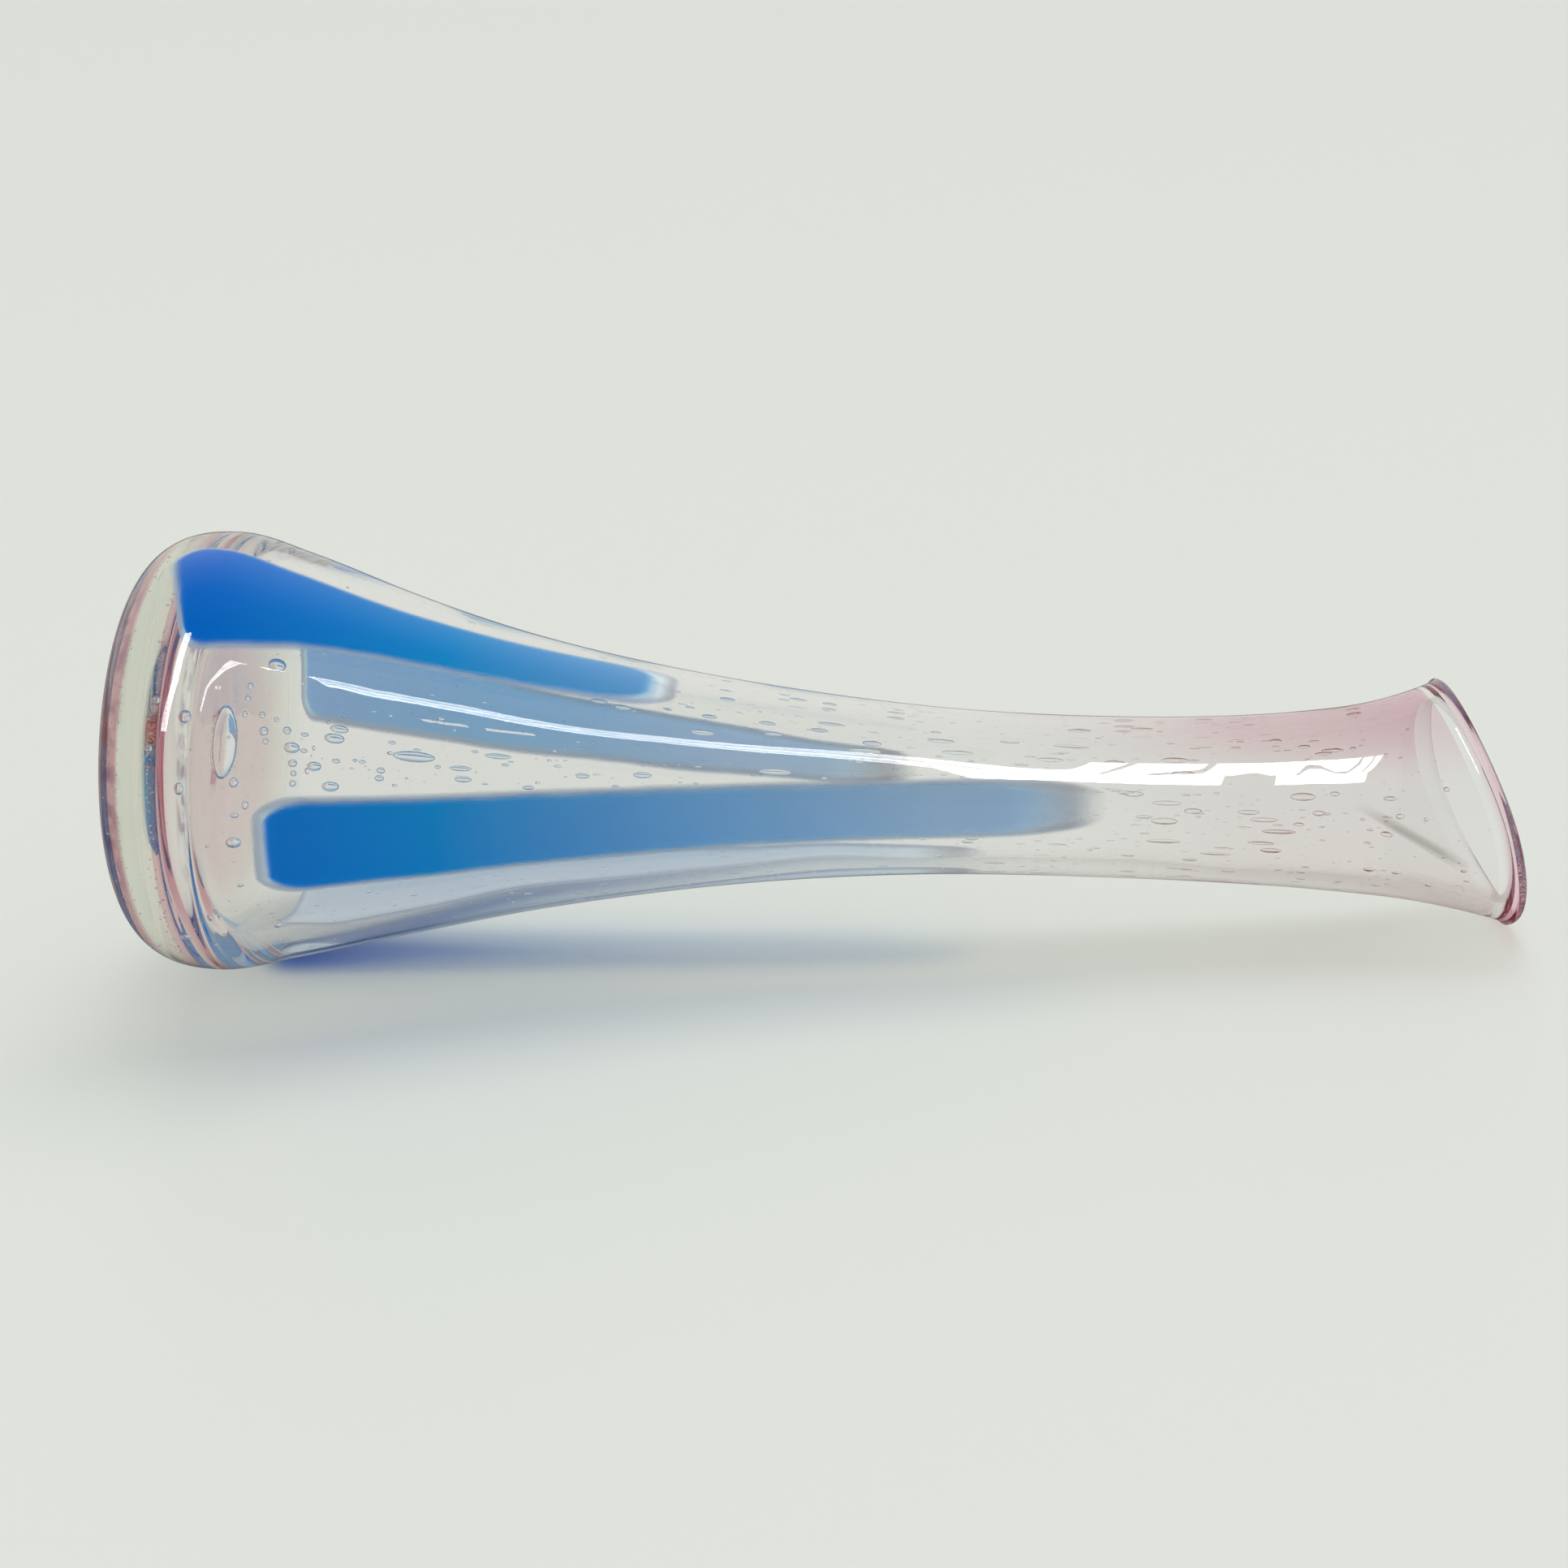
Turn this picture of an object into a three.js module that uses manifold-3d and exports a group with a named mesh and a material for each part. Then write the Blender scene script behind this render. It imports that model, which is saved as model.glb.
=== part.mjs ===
// Swung glass vase, standing on its foot. A clear bubbled casing lies over a thin pink lining.
// Four blue streaks, each in a bed of opal glass, are pressed flush into the casing round the
// shoulder, and a pink wrap closes the lip. Millimetres, +Z up, origin at the middle of the foot.
// The front is -Y. The mouth leans: its rim is highest towards +X and lowest towards -X.

import * as THREE from 'three';
import { mergeVertices } from 'three/addons/utils/BufferGeometryUtils.js';
import Module from 'manifold-3d';

// Outside shape
const vaseHeight = 350;
const bellyRadius = 57.7;
const bellyHeight = 26;
const footRadius = 28.8;
const neckRadius = 20.8;
const neckHeight = 250;
const mouthRadius = 29;
const pontilRadius = 10.5;
const pontilDepth = 1.4;

// Walls
const bellyWall = 6.8;
const neckWall = 4.4;
const mouthWall = 3.8;
const floorHeight = 16;
const floorFlatRadius = 22;
const floorCornerHeight = 20;
const liningWall = 1.2;
const seam = 0.3;
const cutOverrun = 2;

// Lip wrap
const lipHeight = 5;
const lipBead = 0.25;

// What the swing did: the middle line bows, the rim leans and the mouth goes oval
const swayReach = 2;
const rimLeanSide = 10.85;
const rimLeanFront = 5.43;
const mouthOvalShare = 0.066;
const leanStartShare = 0.7;

// Streaks
const blueThickness = 1.3;
const opalThickness = 0.9;
const opalBorder = 1.8;
const opalStartBorder = 3;
const opalTipBorder = 7;
const streakStartRounds = [8, 12, 9, 9];
const streakTipRounds = [14, 36, 26, 26];
const tipThicknessShare = 0.45;
// Where each streak starts and ends, as shares of the vase's height
const streakHeightShares = [[0.05, 0.417], [0.123, 0.734], [0.097, 0.646], [0.067, 0.591]];
// Which way each faces at its start and tip, in degrees round from +X, and how fast it turns from one to
// the other
const streakTurnAngles = [[-135, -146.5], [-62.3, -83.2], [24, 12], [121, 108]];
const streakTwistGrowths = [1, 1.9, 1.9, 1.9];
// Half the width at the start, at the middle and at the tip, in degrees round, and where the middle lies
const streakSpreadAngles = [[20.5, 15.2, 17.5], [16.3, 19.3, 25], [21, 21, 22], [21, 20.5, 20]];
const streakMiddleShare = 0.35;
// How far each start is slanted, rising towards the larger turn, and how fast the slant fades
const streakStartSlants = [4, 0, 0, 0];
const streakSlantFade = 4;

// Outlines, as shares of the sizes above: pairs of height share and radius share
const footCornerPower = 2.6;
const floorCornerPower = 2.4;
const shoulderShares = [
  [0, 1], [0.086, 0.88], [0.195, 0.68], [0.352, 0.424],
  [0.508, 0.24], [0.665, 0.109], [0.82, 0.028], [1, 0],
];
const flareShares = [[0, 0], [0.3, 0.036], [0.58, 0.18], [0.79, 0.424], [1, 1]];
const flareEndSlopeShare = 3.5;
const swayShares = [[0.075, 0], [0.25, 1], [0.5, 0.99], [0.75, 0.63], [1, -0.9]];
const swayEndSlopeShare = -8;
const streakStartBluntShare = 0.45;
const streakTipBluntShare = 0.3;
const roundingShares = [0.08, 0.3, 0.62, 1];

// Fineness of the facets
const turnSteps = 36;
const pontilSteps = 3;
const cornerSteps = 8;
const bodySteps = 15;
const bodyStepGrowth = 1.25;
const lipSteps = 5;
const streakColumns = 4;
const weldDistance = 0.0003;

// A smooth curve through [at, value] stops, in pieces of cubic, level at its start.
function smoothThrough(stops, endSlope = 0) {
  const slopes = stops.map(([at, value], i) => {
    if (i === 0) return 0;
    if (i === stops.length - 1) return endSlope;
    const [atBefore, before] = stops[i - 1];
    const [atAfter, after] = stops[i + 1];
    const slopeBefore = (value - before) / (at - atBefore);
    const slopeAfter = (after - value) / (atAfter - at);
    return (slopeBefore * (atAfter - at) + slopeAfter * (at - atBefore)) / (atAfter - atBefore);
  });
  return (where) => {
    const last = stops.length - 1;
    if (where <= stops[0][0]) return stops[0][1];
    if (where >= stops[last][0]) return stops[last][1];
    let i = 0;
    while (stops[i + 1][0] < where) i += 1;
    const step = stops[i + 1][0] - stops[i][0];
    const t = (where - stops[i][0]) / step;
    const rise = t * t * (3 - 2 * t);
    const leave = t * (1 - t) * (1 - t) * step;
    const arrive = t * t * (t - 1) * step;
    return stops[i][1] * (1 - rise) + stops[i + 1][1] * rise + slopes[i] * leave + slopes[i + 1] * arrive;
  };
}

const shoulderShare = smoothThrough(shoulderShares);
const flareShare = smoothThrough(flareShares, flareEndSlopeShare);
const swayShare = smoothThrough(swayShares, swayEndSlopeShare);

const streaks = streakHeightShares.map(([start, tip], i) => ({
  startHeight: start * vaseHeight,
  tipHeight: tip * vaseHeight,
  startTurn: streakTurnAngles[i][0],
  tipTurn: streakTurnAngles[i][1],
  twistGrowth: streakTwistGrowths[i],
  spreadAt: smoothThrough([
    [0, streakSpreadAngles[i][0]],
    [streakMiddleShare, streakSpreadAngles[i][1]],
    [1, streakSpreadAngles[i][2]],
  ]),
  startSlant: streakStartSlants[i],
  startRound: streakStartRounds[i],
  tipRound: streakTipRounds[i],
}));

// The outside radius at a height: a superellipse corner, the long shoulder, then the flared mouth.
function outerRadius(height) {
  if (height < bellyHeight) {
    const drop = 1 - Math.max(height, 0) / bellyHeight;
    const share = (1 - drop ** footCornerPower) ** (1 / footCornerPower);
    return footRadius + (bellyRadius - footRadius) * share;
  }
  if (height < neckHeight) {
    const share = shoulderShare((height - bellyHeight) / (neckHeight - bellyHeight));
    return neckRadius + (bellyRadius - neckRadius) * share;
  }
  const share = flareShare((height - neckHeight) / (vaseHeight - neckHeight));
  return neckRadius + (mouthRadius - neckRadius) * share;
}

// The wall thins as the body narrows, because the swing stretched both together.
function wallThickness(height) {
  if (height < neckHeight) {
    const share = (outerRadius(height) - neckRadius) / (bellyRadius - neckRadius);
    return neckWall + (bellyWall - neckWall) * Math.min(share, 1);
  }
  const share = (height - neckHeight) / (vaseHeight - neckHeight);
  return neckWall + (mouthWall - neckWall) * share;
}

// The radius of the room inside: a flat floor, a superellipse corner, then the wall's inner face.
function boreRadius(height) {
  const wall = outerRadius(Math.max(height, bellyHeight)) - wallThickness(Math.max(height, bellyHeight));
  const drop = 1 - (height - floorHeight) / floorCornerHeight;
  if (drop <= 0) return wall;
  const share = (1 - Math.min(drop, 1) ** floorCornerPower) ** (1 / floorCornerPower);
  return floorFlatRadius + (wall - floorFlatRadius) * share;
}

// Heights of the rings up the body, close together at the shoulder and in the flare.
function bodyHeights(from, to) {
  const heights = [];
  for (let i = 0; i <= bodySteps; i += 1) {
    const share = (i / bodySteps) ** bodyStepGrowth;
    heights.push(from + (to - from) * share);
  }
  return heights;
}

// Heights up a superellipse corner, evenly spread along its curve. The last one is left to the body.
function cornerHeights(from, rise, power) {
  const heights = [];
  for (let i = 0; i < cornerSteps; i += 1) {
    const angle = (i / cornerSteps) * (Math.PI / 2);
    heights.push(from + rise * (1 - Math.cos(angle) ** (2 / power)));
  }
  return heights;
}

const outerHeights = [
  ...cornerHeights(0, bellyHeight, footCornerPower),
  ...bodyHeights(bellyHeight, vaseHeight),
];
const boreHeights = [
  ...cornerHeights(floorHeight, floorCornerHeight, floorCornerPower),
  ...bodyHeights(floorHeight + floorCornerHeight, vaseHeight),
];

// A profile moved out from the room inside by a distance, square to the wall at each point.
function boreProfile(outward, top) {
  const heights = [...boreHeights.filter((height) => height < top), top];
  const points = heights.map((height) => new THREE.Vector2(boreRadius(height), height));
  points.unshift(new THREE.Vector2(0, floorHeight));
  const moved = points.map((point, i) => {
    if (i === 0) return new THREE.Vector2(0, point.y - outward);
    if (i === points.length - 1) return new THREE.Vector2(point.x + outward, point.y);
    const before = points[i - 1];
    const after = points[i + 1];
    const along = after.clone().sub(before).normalize();
    return new THREE.Vector2(point.x + along.y * outward, point.y - along.x * outward);
  });
  return moved;
}

// The outside profile, from the middle of the pontil hollow up to a height.
function outerProfile(top) {
  const points = [];
  const bowlRadius = (pontilRadius ** 2 + pontilDepth ** 2) / (2 * pontilDepth);
  for (let i = 0; i < pontilSteps; i += 1) {
    const radius = (pontilRadius * i) / pontilSteps;
    const rise = pontilDepth - bowlRadius + Math.sqrt(bowlRadius ** 2 - radius ** 2);
    points.push(new THREE.Vector2(radius, rise));
  }
  points.push(new THREE.Vector2(pontilRadius, 0));
  for (const height of [...outerHeights.filter((each) => each < top), top]) {
    points.push(new THREE.Vector2(outerRadius(height), height));
  }
  return points;
}

// The swing: bows the middle line, leans the rim and makes the mouth oval.
function swing(geometry) {
  const places = geometry.getAttribute('position');
  for (let i = 0; i < places.count; i += 1) {
    const x = places.getX(i);
    const y = places.getY(i);
    const z = places.getZ(i);
    const radius = Math.hypot(x, y);
    const side = radius > 0 ? x / radius : 0;
    const back = radius > 0 ? y / radius : 0;
    const share = z / vaseHeight;
    const pull = Math.min(Math.max((share - leanStartShare) / (1 - leanStartShare), 0), 1) ** 2;
    const stretch = 1 + mouthOvalShare * pull * (side * side - back * back);
    const lean = pull * (rimLeanSide * side - rimLeanFront * back);
    places.setXYZ(i, x * stretch + swayReach * swayShare(share), y * stretch, z + lean);
  }
  return geometry;
}

// A solid of revolution from a profile that starts and ends on the axis or closes on itself.
function turned(points) {
  const geometry = new THREE.LatheGeometry(points, turnSteps);
  geometry.rotateX(Math.PI / 2);
  return weld(swing(geometry));
}

function weld(geometry) {
  geometry.deleteAttribute('normal');
  geometry.deleteAttribute('uv');
  return mergeVertices(geometry, weldDistance);
}

// A point of the casing's skin, sunk by a depth square to it. A depth below zero stands proud.
function skinPoint(height, turn, depth) {
  const reach = seam;
  const slope = (outerRadius(height + reach) - outerRadius(height - reach)) / (2 * reach);
  const steep = Math.hypot(1, slope);
  const radius = outerRadius(height) - depth / steep;
  const z = height + (depth * slope) / steep;
  return [radius * Math.cos(turn), radius * Math.sin(turn), z];
}

// How far up a streak a height lies, from 0 at its start to 1 at its tip.
function streakShare(streak, height) {
  const share = (height - streak.startHeight) / (streak.tipHeight - streak.startHeight);
  return Math.min(Math.max(share, 0), 1);
}

// Thickness of a layer of a streak: the swing drew it thin towards the tip.
function drawnThickness(streak, height, thickness) {
  return thickness * (1 + (tipThicknessShare - 1) * streakShare(streak, height));
}

// How wide a strip is near its ends, from a blunt end to its full width: a quarter of an ellipse.
function roundedEnd(distance, length, bluntShare) {
  const share = Math.min(distance / length, 1);
  return bluntShare + (1 - bluntShare) * Math.sqrt(1 - (1 - share) ** 2);
}

// A closed strip that follows the skin between two depths, narrower than the streak by the insets.
function strip(streak, insets, topDepth, bottomDepth) {
  const from = streak.startHeight + insets.start;
  const to = streak.tipHeight - insets.tip;
  const startHeights = roundingShares.map((share) => from + share * streak.startRound);
  const tipHeights = roundingShares.map((share) => to - share * streak.tipRound).reverse();
  const plain = outerHeights.filter((height) => {
    return height > startHeights.at(-1) + seam && height < tipHeights[0] - seam;
  });
  const heights = [from, ...startHeights, ...plain, ...tipHeights, to];
  const places = [];
  for (const depthAt of [topDepth, bottomDepth]) {
    for (const height of heights) {
      const share = streakShare(streak, height);
      const twist = (streak.tipTurn - streak.startTurn) * share ** streak.twistGrowth;
      const middle = streak.startTurn + twist;
      const slant = streak.startSlant * (1 - share) ** streakSlantFade;
      const startRounding = roundedEnd(height - from, streak.startRound, streakStartBluntShare);
      const tipRounding = roundedEnd(to - height, streak.tipRound, streakTipBluntShare);
      const fullWidth = THREE.MathUtils.degToRad(streak.spreadAt(share)) - insets.side / outerRadius(height);
      const halfWidth = fullWidth * startRounding * tipRounding;
      for (let column = 0; column <= streakColumns; column += 1) {
        const across = (2 * column) / streakColumns - 1;
        const turn = THREE.MathUtils.degToRad(middle) + across * halfWidth;
        places.push(...skinPoint(height + slant * across, turn, depthAt(height)));
      }
    }
  }
  const columns = streakColumns + 1;
  const layer = heights.length * columns;
  const faces = [];
  const quad = (a, b, c, d) => faces.push(a, b, c, a, c, d);
  for (let row = 0; row < heights.length - 1; row += 1) {
    for (let column = 0; column < streakColumns; column += 1) {
      const a = row * columns + column;
      quad(a, a + 1, a + 1 + columns, a + columns);
      quad(layer + a, layer + a + columns, layer + a + 1 + columns, layer + a + 1);
    }
    const left = row * columns;
    const right = left + streakColumns;
    quad(left, left + columns, layer + left + columns, layer + left);
    quad(right, layer + right, layer + right + columns, right + columns);
  }
  for (let column = 0; column < streakColumns; column += 1) {
    const first = column;
    const last = (heights.length - 1) * columns + column;
    quad(first, layer + first, layer + first + 1, first + 1);
    quad(last, last + 1, layer + last + 1, layer + last);
  }
  const geometry = new THREE.BufferGeometry();
  geometry.setAttribute('position', new THREE.Float32BufferAttribute(places, 3));
  geometry.setIndex(faces);
  return swing(geometry);
}

const wasm = await Module();
wasm.setup();

function toSolid(geometry) {
  const vertProperties = new Float32Array(geometry.getAttribute('position').array);
  const triVerts = new Uint32Array(geometry.getIndex().array);
  return new wasm.Manifold(new wasm.Mesh({ numProp: 3, vertProperties, triVerts }));
}

function toGeometry(solid) {
  const mesh = solid.getMesh();
  const geometry = new THREE.BufferGeometry();
  geometry.setAttribute('position', new THREE.Float32BufferAttribute(mesh.vertProperties, 3));
  geometry.setIndex([...mesh.triVerts]);
  return geometry;
}

function glass(color, roughness, opacity) {
  const transparent = opacity < 1;
  return new THREE.MeshStandardMaterial({ color, roughness, metalness: 0, opacity, transparent });
}

const firePolish = 0.05;
const pressedPolish = 0.1;
const clearGlass = glass('#e6e4dd', firePolish, 0.35);
const pinkGlass = glass('#e3a3b0', firePolish, 0.45);
const deepPinkGlass = glass('#c9506f', firePolish, 0.7);
const blueGlass = glass('#0f6cb8', pressedPolish, 1);
const opalGlass = glass('#b9bcd0', pressedPolish, 1);

const vase = new THREE.Group();
vase.name = 'swung_vase';

function add(name, geometry, material) {
  const mesh = new THREE.Mesh(geometry, material);
  mesh.name = name;
  mesh.geometry.computeVertexNormals();
  vase.add(mesh);
}

// Insets of the streak's parts. The beds are the streak's full size and the blue is drawn in.
const bedInsets = { side: 0, start: 0, tip: 0 };
const blueInsets = { side: opalBorder, start: opalStartBorder, tip: opalTipBorder };

function looser(insets) {
  return { side: insets.side - seam, start: insets.start - seam, tip: insets.tip - seam };
}

const aboveSkin = () => -cutOverrun;
const atSkin = () => 0;
const bodyTop = vaseHeight - lipHeight - seam;
let casing = toSolid(turned([
  ...outerProfile(bodyTop),
  ...boreProfile(liningWall + seam, bodyTop).reverse(),
]));

streaks.forEach((streak, i) => {
  const blueFloor = (height) => drawnThickness(streak, height, blueThickness);
  const bedTop = (height) => blueFloor(height) + seam;
  const bedFloor = (height) => bedTop(height) + drawnThickness(streak, height, opalThickness);
  const pocketFloor = (height) => bedFloor(height) + seam;
  const pocket = strip(streak, looser(bedInsets), aboveSkin, pocketFloor);
  casing = casing.subtract(toSolid(pocket));
  const bed = toSolid(strip(streak, bedInsets, atSkin, bedFloor));
  const recess = toSolid(strip(streak, looser(blueInsets), aboveSkin, bedTop));
  add(`opal_bed_${i + 1}`, toGeometry(bed.subtract(recess)), opalGlass);
  add(`blue_streak_${i + 1}`, strip(streak, blueInsets, atSkin, blueFloor), blueGlass);
});
add('casing', toGeometry(casing), clearGlass);

// The lining follows the inside of the casing, a seam away from it.
add('lining', turned([
  ...boreProfile(liningWall, bodyTop),
  ...boreProfile(0, bodyTop).reverse(),
]), pinkGlass);

// The lip wrap stands on the ends of the casing and lining, and is rounded over by the fire.
function lipProfile() {
  const low = vaseHeight - lipHeight;
  const outside = outerRadius(vaseHeight) + lipBead;
  const inside = boreRadius(vaseHeight) - lipBead;
  const round = (outside - inside) / 2;
  const middle = (outside + inside) / 2;
  const points = [
    new THREE.Vector2(boreRadius(low) - lipBead, low),
    new THREE.Vector2(outerRadius(low) + lipBead, low),
  ];
  for (let i = 0; i <= lipSteps; i += 1) {
    const angle = (Math.PI * i) / lipSteps;
    const radius = middle + round * Math.cos(angle);
    points.push(new THREE.Vector2(radius, vaseHeight - round + round * Math.sin(angle)));
  }
  points.push(points[0].clone());
  return points;
}

add('lip_wrap', turned(lipProfile()), deepPinkGlass);

export default vase;
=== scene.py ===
"""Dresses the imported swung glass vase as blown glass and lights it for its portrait.

The vase stands on its foot, +Z up, and the photographed side faces -Y. In the portrait it lies on its
+X side, so the portrait's floor stands on that side and the camera is rolled a quarter turn.
"""

import math

import bpy
import numpy as np
from bpy.props import FloatProperty, FloatVectorProperty, IntProperty, PointerProperty
from mathutils import Matrix, Vector


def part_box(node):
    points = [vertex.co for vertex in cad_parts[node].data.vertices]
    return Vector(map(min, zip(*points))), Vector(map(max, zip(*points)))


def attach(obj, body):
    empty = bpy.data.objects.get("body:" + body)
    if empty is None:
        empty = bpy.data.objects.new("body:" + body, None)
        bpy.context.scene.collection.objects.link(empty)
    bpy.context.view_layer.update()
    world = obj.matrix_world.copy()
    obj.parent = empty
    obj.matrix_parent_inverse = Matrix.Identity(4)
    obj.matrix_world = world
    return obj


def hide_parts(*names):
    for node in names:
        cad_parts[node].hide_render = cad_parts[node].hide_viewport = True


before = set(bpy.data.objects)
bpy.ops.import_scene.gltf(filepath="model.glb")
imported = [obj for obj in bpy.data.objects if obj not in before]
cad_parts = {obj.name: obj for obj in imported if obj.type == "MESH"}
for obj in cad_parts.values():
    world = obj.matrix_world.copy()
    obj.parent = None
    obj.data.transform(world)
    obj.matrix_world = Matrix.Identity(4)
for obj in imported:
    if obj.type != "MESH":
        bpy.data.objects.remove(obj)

bl_info = {
    "name": "Swung Glass Vase",
    "version": (1, 0, 0),
    "blender": (4, 5, 0),
    "location": "View3D > Sidebar > Vase",
    "description": "Makes a swung glass vase with pressed-in streaks, seed bubbles and a pink lip",
    "category": "Object",
}

BODY = "root"
MM = 0.001
WHITE = (1.0, 1.0, 1.0)
CASING_LOW, CASING_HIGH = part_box("casing")
LIP_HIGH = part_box("lip_wrap")[1]
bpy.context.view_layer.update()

# Outline of the glass, as shares: pairs of height share and radius share
SHOULDER_SHARES = ((0, 1), (0.086, 0.88), (0.195, 0.68), (0.352, 0.424),
                   (0.508, 0.24), (0.665, 0.109), (0.82, 0.028), (1, 0))
FLARE_SHARES = ((0, 0), (0.3, 0.036), (0.58, 0.18), (0.79, 0.424), (1, 1))
FLARE_END_SLOPE_SHARE = 3.5
SWAY_SHARES = ((0.075, 0), (0.25, 1), (0.5, 0.99), (0.75, 0.63), (1, -0.9))
SWAY_END_SLOPE_SHARE = -8.0
FOOT_POWER = 2.6
FLOOR_POWER = 2.4

# The bore's slow unevenness: waves round the vase, least and most waves up it, what their sum is divided
# by, their random seed, how far below the rim they are full, and the heights
# over which they come in above the floor
WOBBLE_WAVES = (1, 2, 3, 3, 5)
WOBBLE_RISES = (2, 9)
WOBBLE_SUM = 2.2
WOBBLE_SEED = 5
WOBBLE_RIM_FADE = 30 * MM
WOBBLE_FLOOR_HEIGHTS = (20 * MM, 40 * MM)

# The lining: its gap under the lip wrap, and the depths of its two faces behind the bore
LINING_TOP_GAP = 0.3 * MM
LINING_DEPTHS = (0.35 * MM, 1.2 * MM)

# The lip wrap: its depth under the rim's skin, its rings up the wall, how thin it starts, its section on its
# thin side and where that shrinks to, as shares, and the turn of its thick side
LIP_SKIN = 0.2 * MM
LIP_RINGS = 12
LIP_START_SHARE = 0.05
LIP_THIN_SHARE = 0.3
LIP_CORE_SHARE = 1 / 3
LIP_THICK_TURN = math.radians(-75)

# Each streak's start and tip as shares of the height, its turn there in degrees round from +X, and how fast
# it turns from one to the other
STREAK_HEIGHT_SHARES = ((0.05, 0.417), (0.123, 0.734), (0.097, 0.646), (0.067, 0.591))
STREAK_TURNS = ((-135, -146.5), (-62.3, -83.2), (24, 12), (121, 108))
STREAK_TWIST_GROWTHS = (1, 1.9, 1.9, 1.9)
# Each streak's half width at its start, middle and tip in degrees round, and where the middle lies
STREAK_SPREADS = ((20.5, 15.2, 17.5), (16.3, 19.3, 25), (21, 21, 22), (21, 20.5, 20))
STREAK_MIDDLE_SHARE = 0.35
STREAK_START_SLANTS = (4 * MM, 0, 0, 0)
STREAK_SLANT_FADE = 4
STREAK_START_ROUNDS = (8 * MM, 12 * MM, 9 * MM, 9 * MM)
STREAK_TIP_ROUNDS = (14 * MM, 36 * MM, 26 * MM, 26 * MM)
STREAK_TIP_FADES = (6 * MM, 26 * MM, 22 * MM, 22 * MM)
STREAK_START_BLUNT_SHARE = 0.45
STREAK_TIP_BLUNT_SHARE = 0.3
STREAK_TIP_THICKNESS_SHARE = 0.45
# Each blue start's border, as a share of the widest
START_BORDER_SHARES = (0.5, 1, 1, 1)

# Families of scattered bubbles: thinnest and thickest half width, height range, crowding towards the low
# end, and faces round and along
BUBBLE_FAMILIES = {
    "large": (0.42 * MM, 0.85 * MM, 24 * MM, 330 * MM, 1.1, 12, 6),
    "medium": (0.2 * MM, 0.45 * MM, 18 * MM, 340 * MM, 1.0, 8, 4),
    "seeds": (0.09 * MM, 0.18 * MM, 8 * MM, 344 * MM, 1.0, 6, 3),
}
# A scattered bubble: its most half width and its depth as shares of the wall. Its length, width and
# thickness are shares of its half width, and the swing narrowed it by a power of its pull
BUBBLE_WALL_SHARE = 0.22
BUBBLE_DEPTH_SHARES = (0.3, 0.72)
BUBBLE_LENGTH_SHARES = (1.0, 2.2)
BUBBLE_WIDTH_SHARES = (0.9, 1.4)
BUBBLE_THROUGH_SHARE = 0.8
BUBBLE_NARROWING_POWER = 0.12
# The swing's pull on a bubble, as length by width: its most, the top share of the height over which the
# opening of the mouth undid it, and the share that is left at the rim
MOST_STRETCH = 7
MOUTH_OPENED_SHARE = 0.17
MOUTH_STRETCH_SHARE = 0.12
# Floor seeds: their disc's radius, their depths and half widths in millimetres, how far they rise at the
# disc's rim, and faces round and along
FLOOR_SEED_REACH = 42 * MM
FLOOR_SEED_DEPTHS = (1.4, 2.2)
FLOOR_SEED_SIZES = (0.1, 0.24)
FLOOR_SEED_RISE = 3.4 * MM
FLOOR_SEED_FACES = (6, 3)

# Bubbles that the portrait shows plainly, in its pixels: place across and down, length and width
PORTRAIT_PIXELS = 1932
PIXEL_SIZE = 0.2 * MM
NOTED_BUBBLES = (
    (276, 914, 34, 92), (225, 881, 16, 17), (188, 860, 10, 11), (178, 922, 9, 10), (217, 974, 12, 16),
    (288, 966, 12, 13), (288, 1043, 20, 15), (302, 995, 9, 12), (227, 1161, 15, 12), (342, 815, 23, 18),
    (309, 842, 8, 9), (306, 858, 8, 8), (302, 878, 7, 9), (323, 879, 8, 9), (325, 900, 12, 12),
    (341, 885, 7, 6), (354, 899, 11, 10), (327, 913, 8, 8), (360, 921, 20, 14), (361, 941, 12, 10),
    (362, 954, 8, 8), (361, 967, 9, 9), (419, 897, 24, 10), (413, 909, 26, 13), (388, 945, 18, 12),
    (415, 938, 11, 6), (408, 971, 22, 13), (484, 914, 10, 5), (511, 932, 54, 14), (470, 950, 11, 8),
    (468, 960, 12, 8), (447, 939, 9, 5), (568, 947, 28, 7), (614, 931, 34, 7), (571, 961, 22, 8),
    (540, 945, 8, 5), (623, 942, 10, 4), (586, 925, 9, 4), (718, 956, 18, 7), (792, 955, 24, 8),
    (768, 867, 22, 7), (897, 857, 20, 7), (984, 858, 24, 6), (946, 887, 22, 6), (866, 899, 30, 8),
    (1066, 922, 42, 7), (1180, 924, 40, 6), (1160, 909, 34, 6), (1025, 888, 36, 5), (955, 950, 42, 8),
    (1330, 896, 30, 7), (1294, 933, 34, 6), (1373, 937, 28, 7), (1457, 951, 30, 8), (1448, 933, 34, 7),
    (1427, 949, 26, 6), (1396, 978, 26, 7), (1436, 990, 38, 6), (1432, 1014, 34, 9), (1532, 1002, 28, 6),
    (1549, 1012, 36, 6), (1564, 946, 18, 6), (1577, 909, 16, 7), (1612, 916, 16, 6), (1673, 918, 9, 5),
    (1598, 981, 32, 10), (1636, 977, 12, 6), (1613, 1003, 16, 7), (1704, 1007, 11, 7), (1767, 970, 8, 6),
    (1661, 960, 8, 4), (1732, 1011, 6, 5), (1659, 1074, 16, 7), (1430, 1040, 44, 6), (1490, 1056, 40, 4),
)
# Their depth as a share of the wall, their most thickness as shares of their width and of the wall, their
# faces round and along, and how often their place on the skin is worked out again
NOTED_DEPTH_SHARE = 0.5
NOTED_THROUGH_SHARES = (0.6, 0.2)
NOTED_FACES = (16, 8)
SKIN_TRIES = 8

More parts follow.
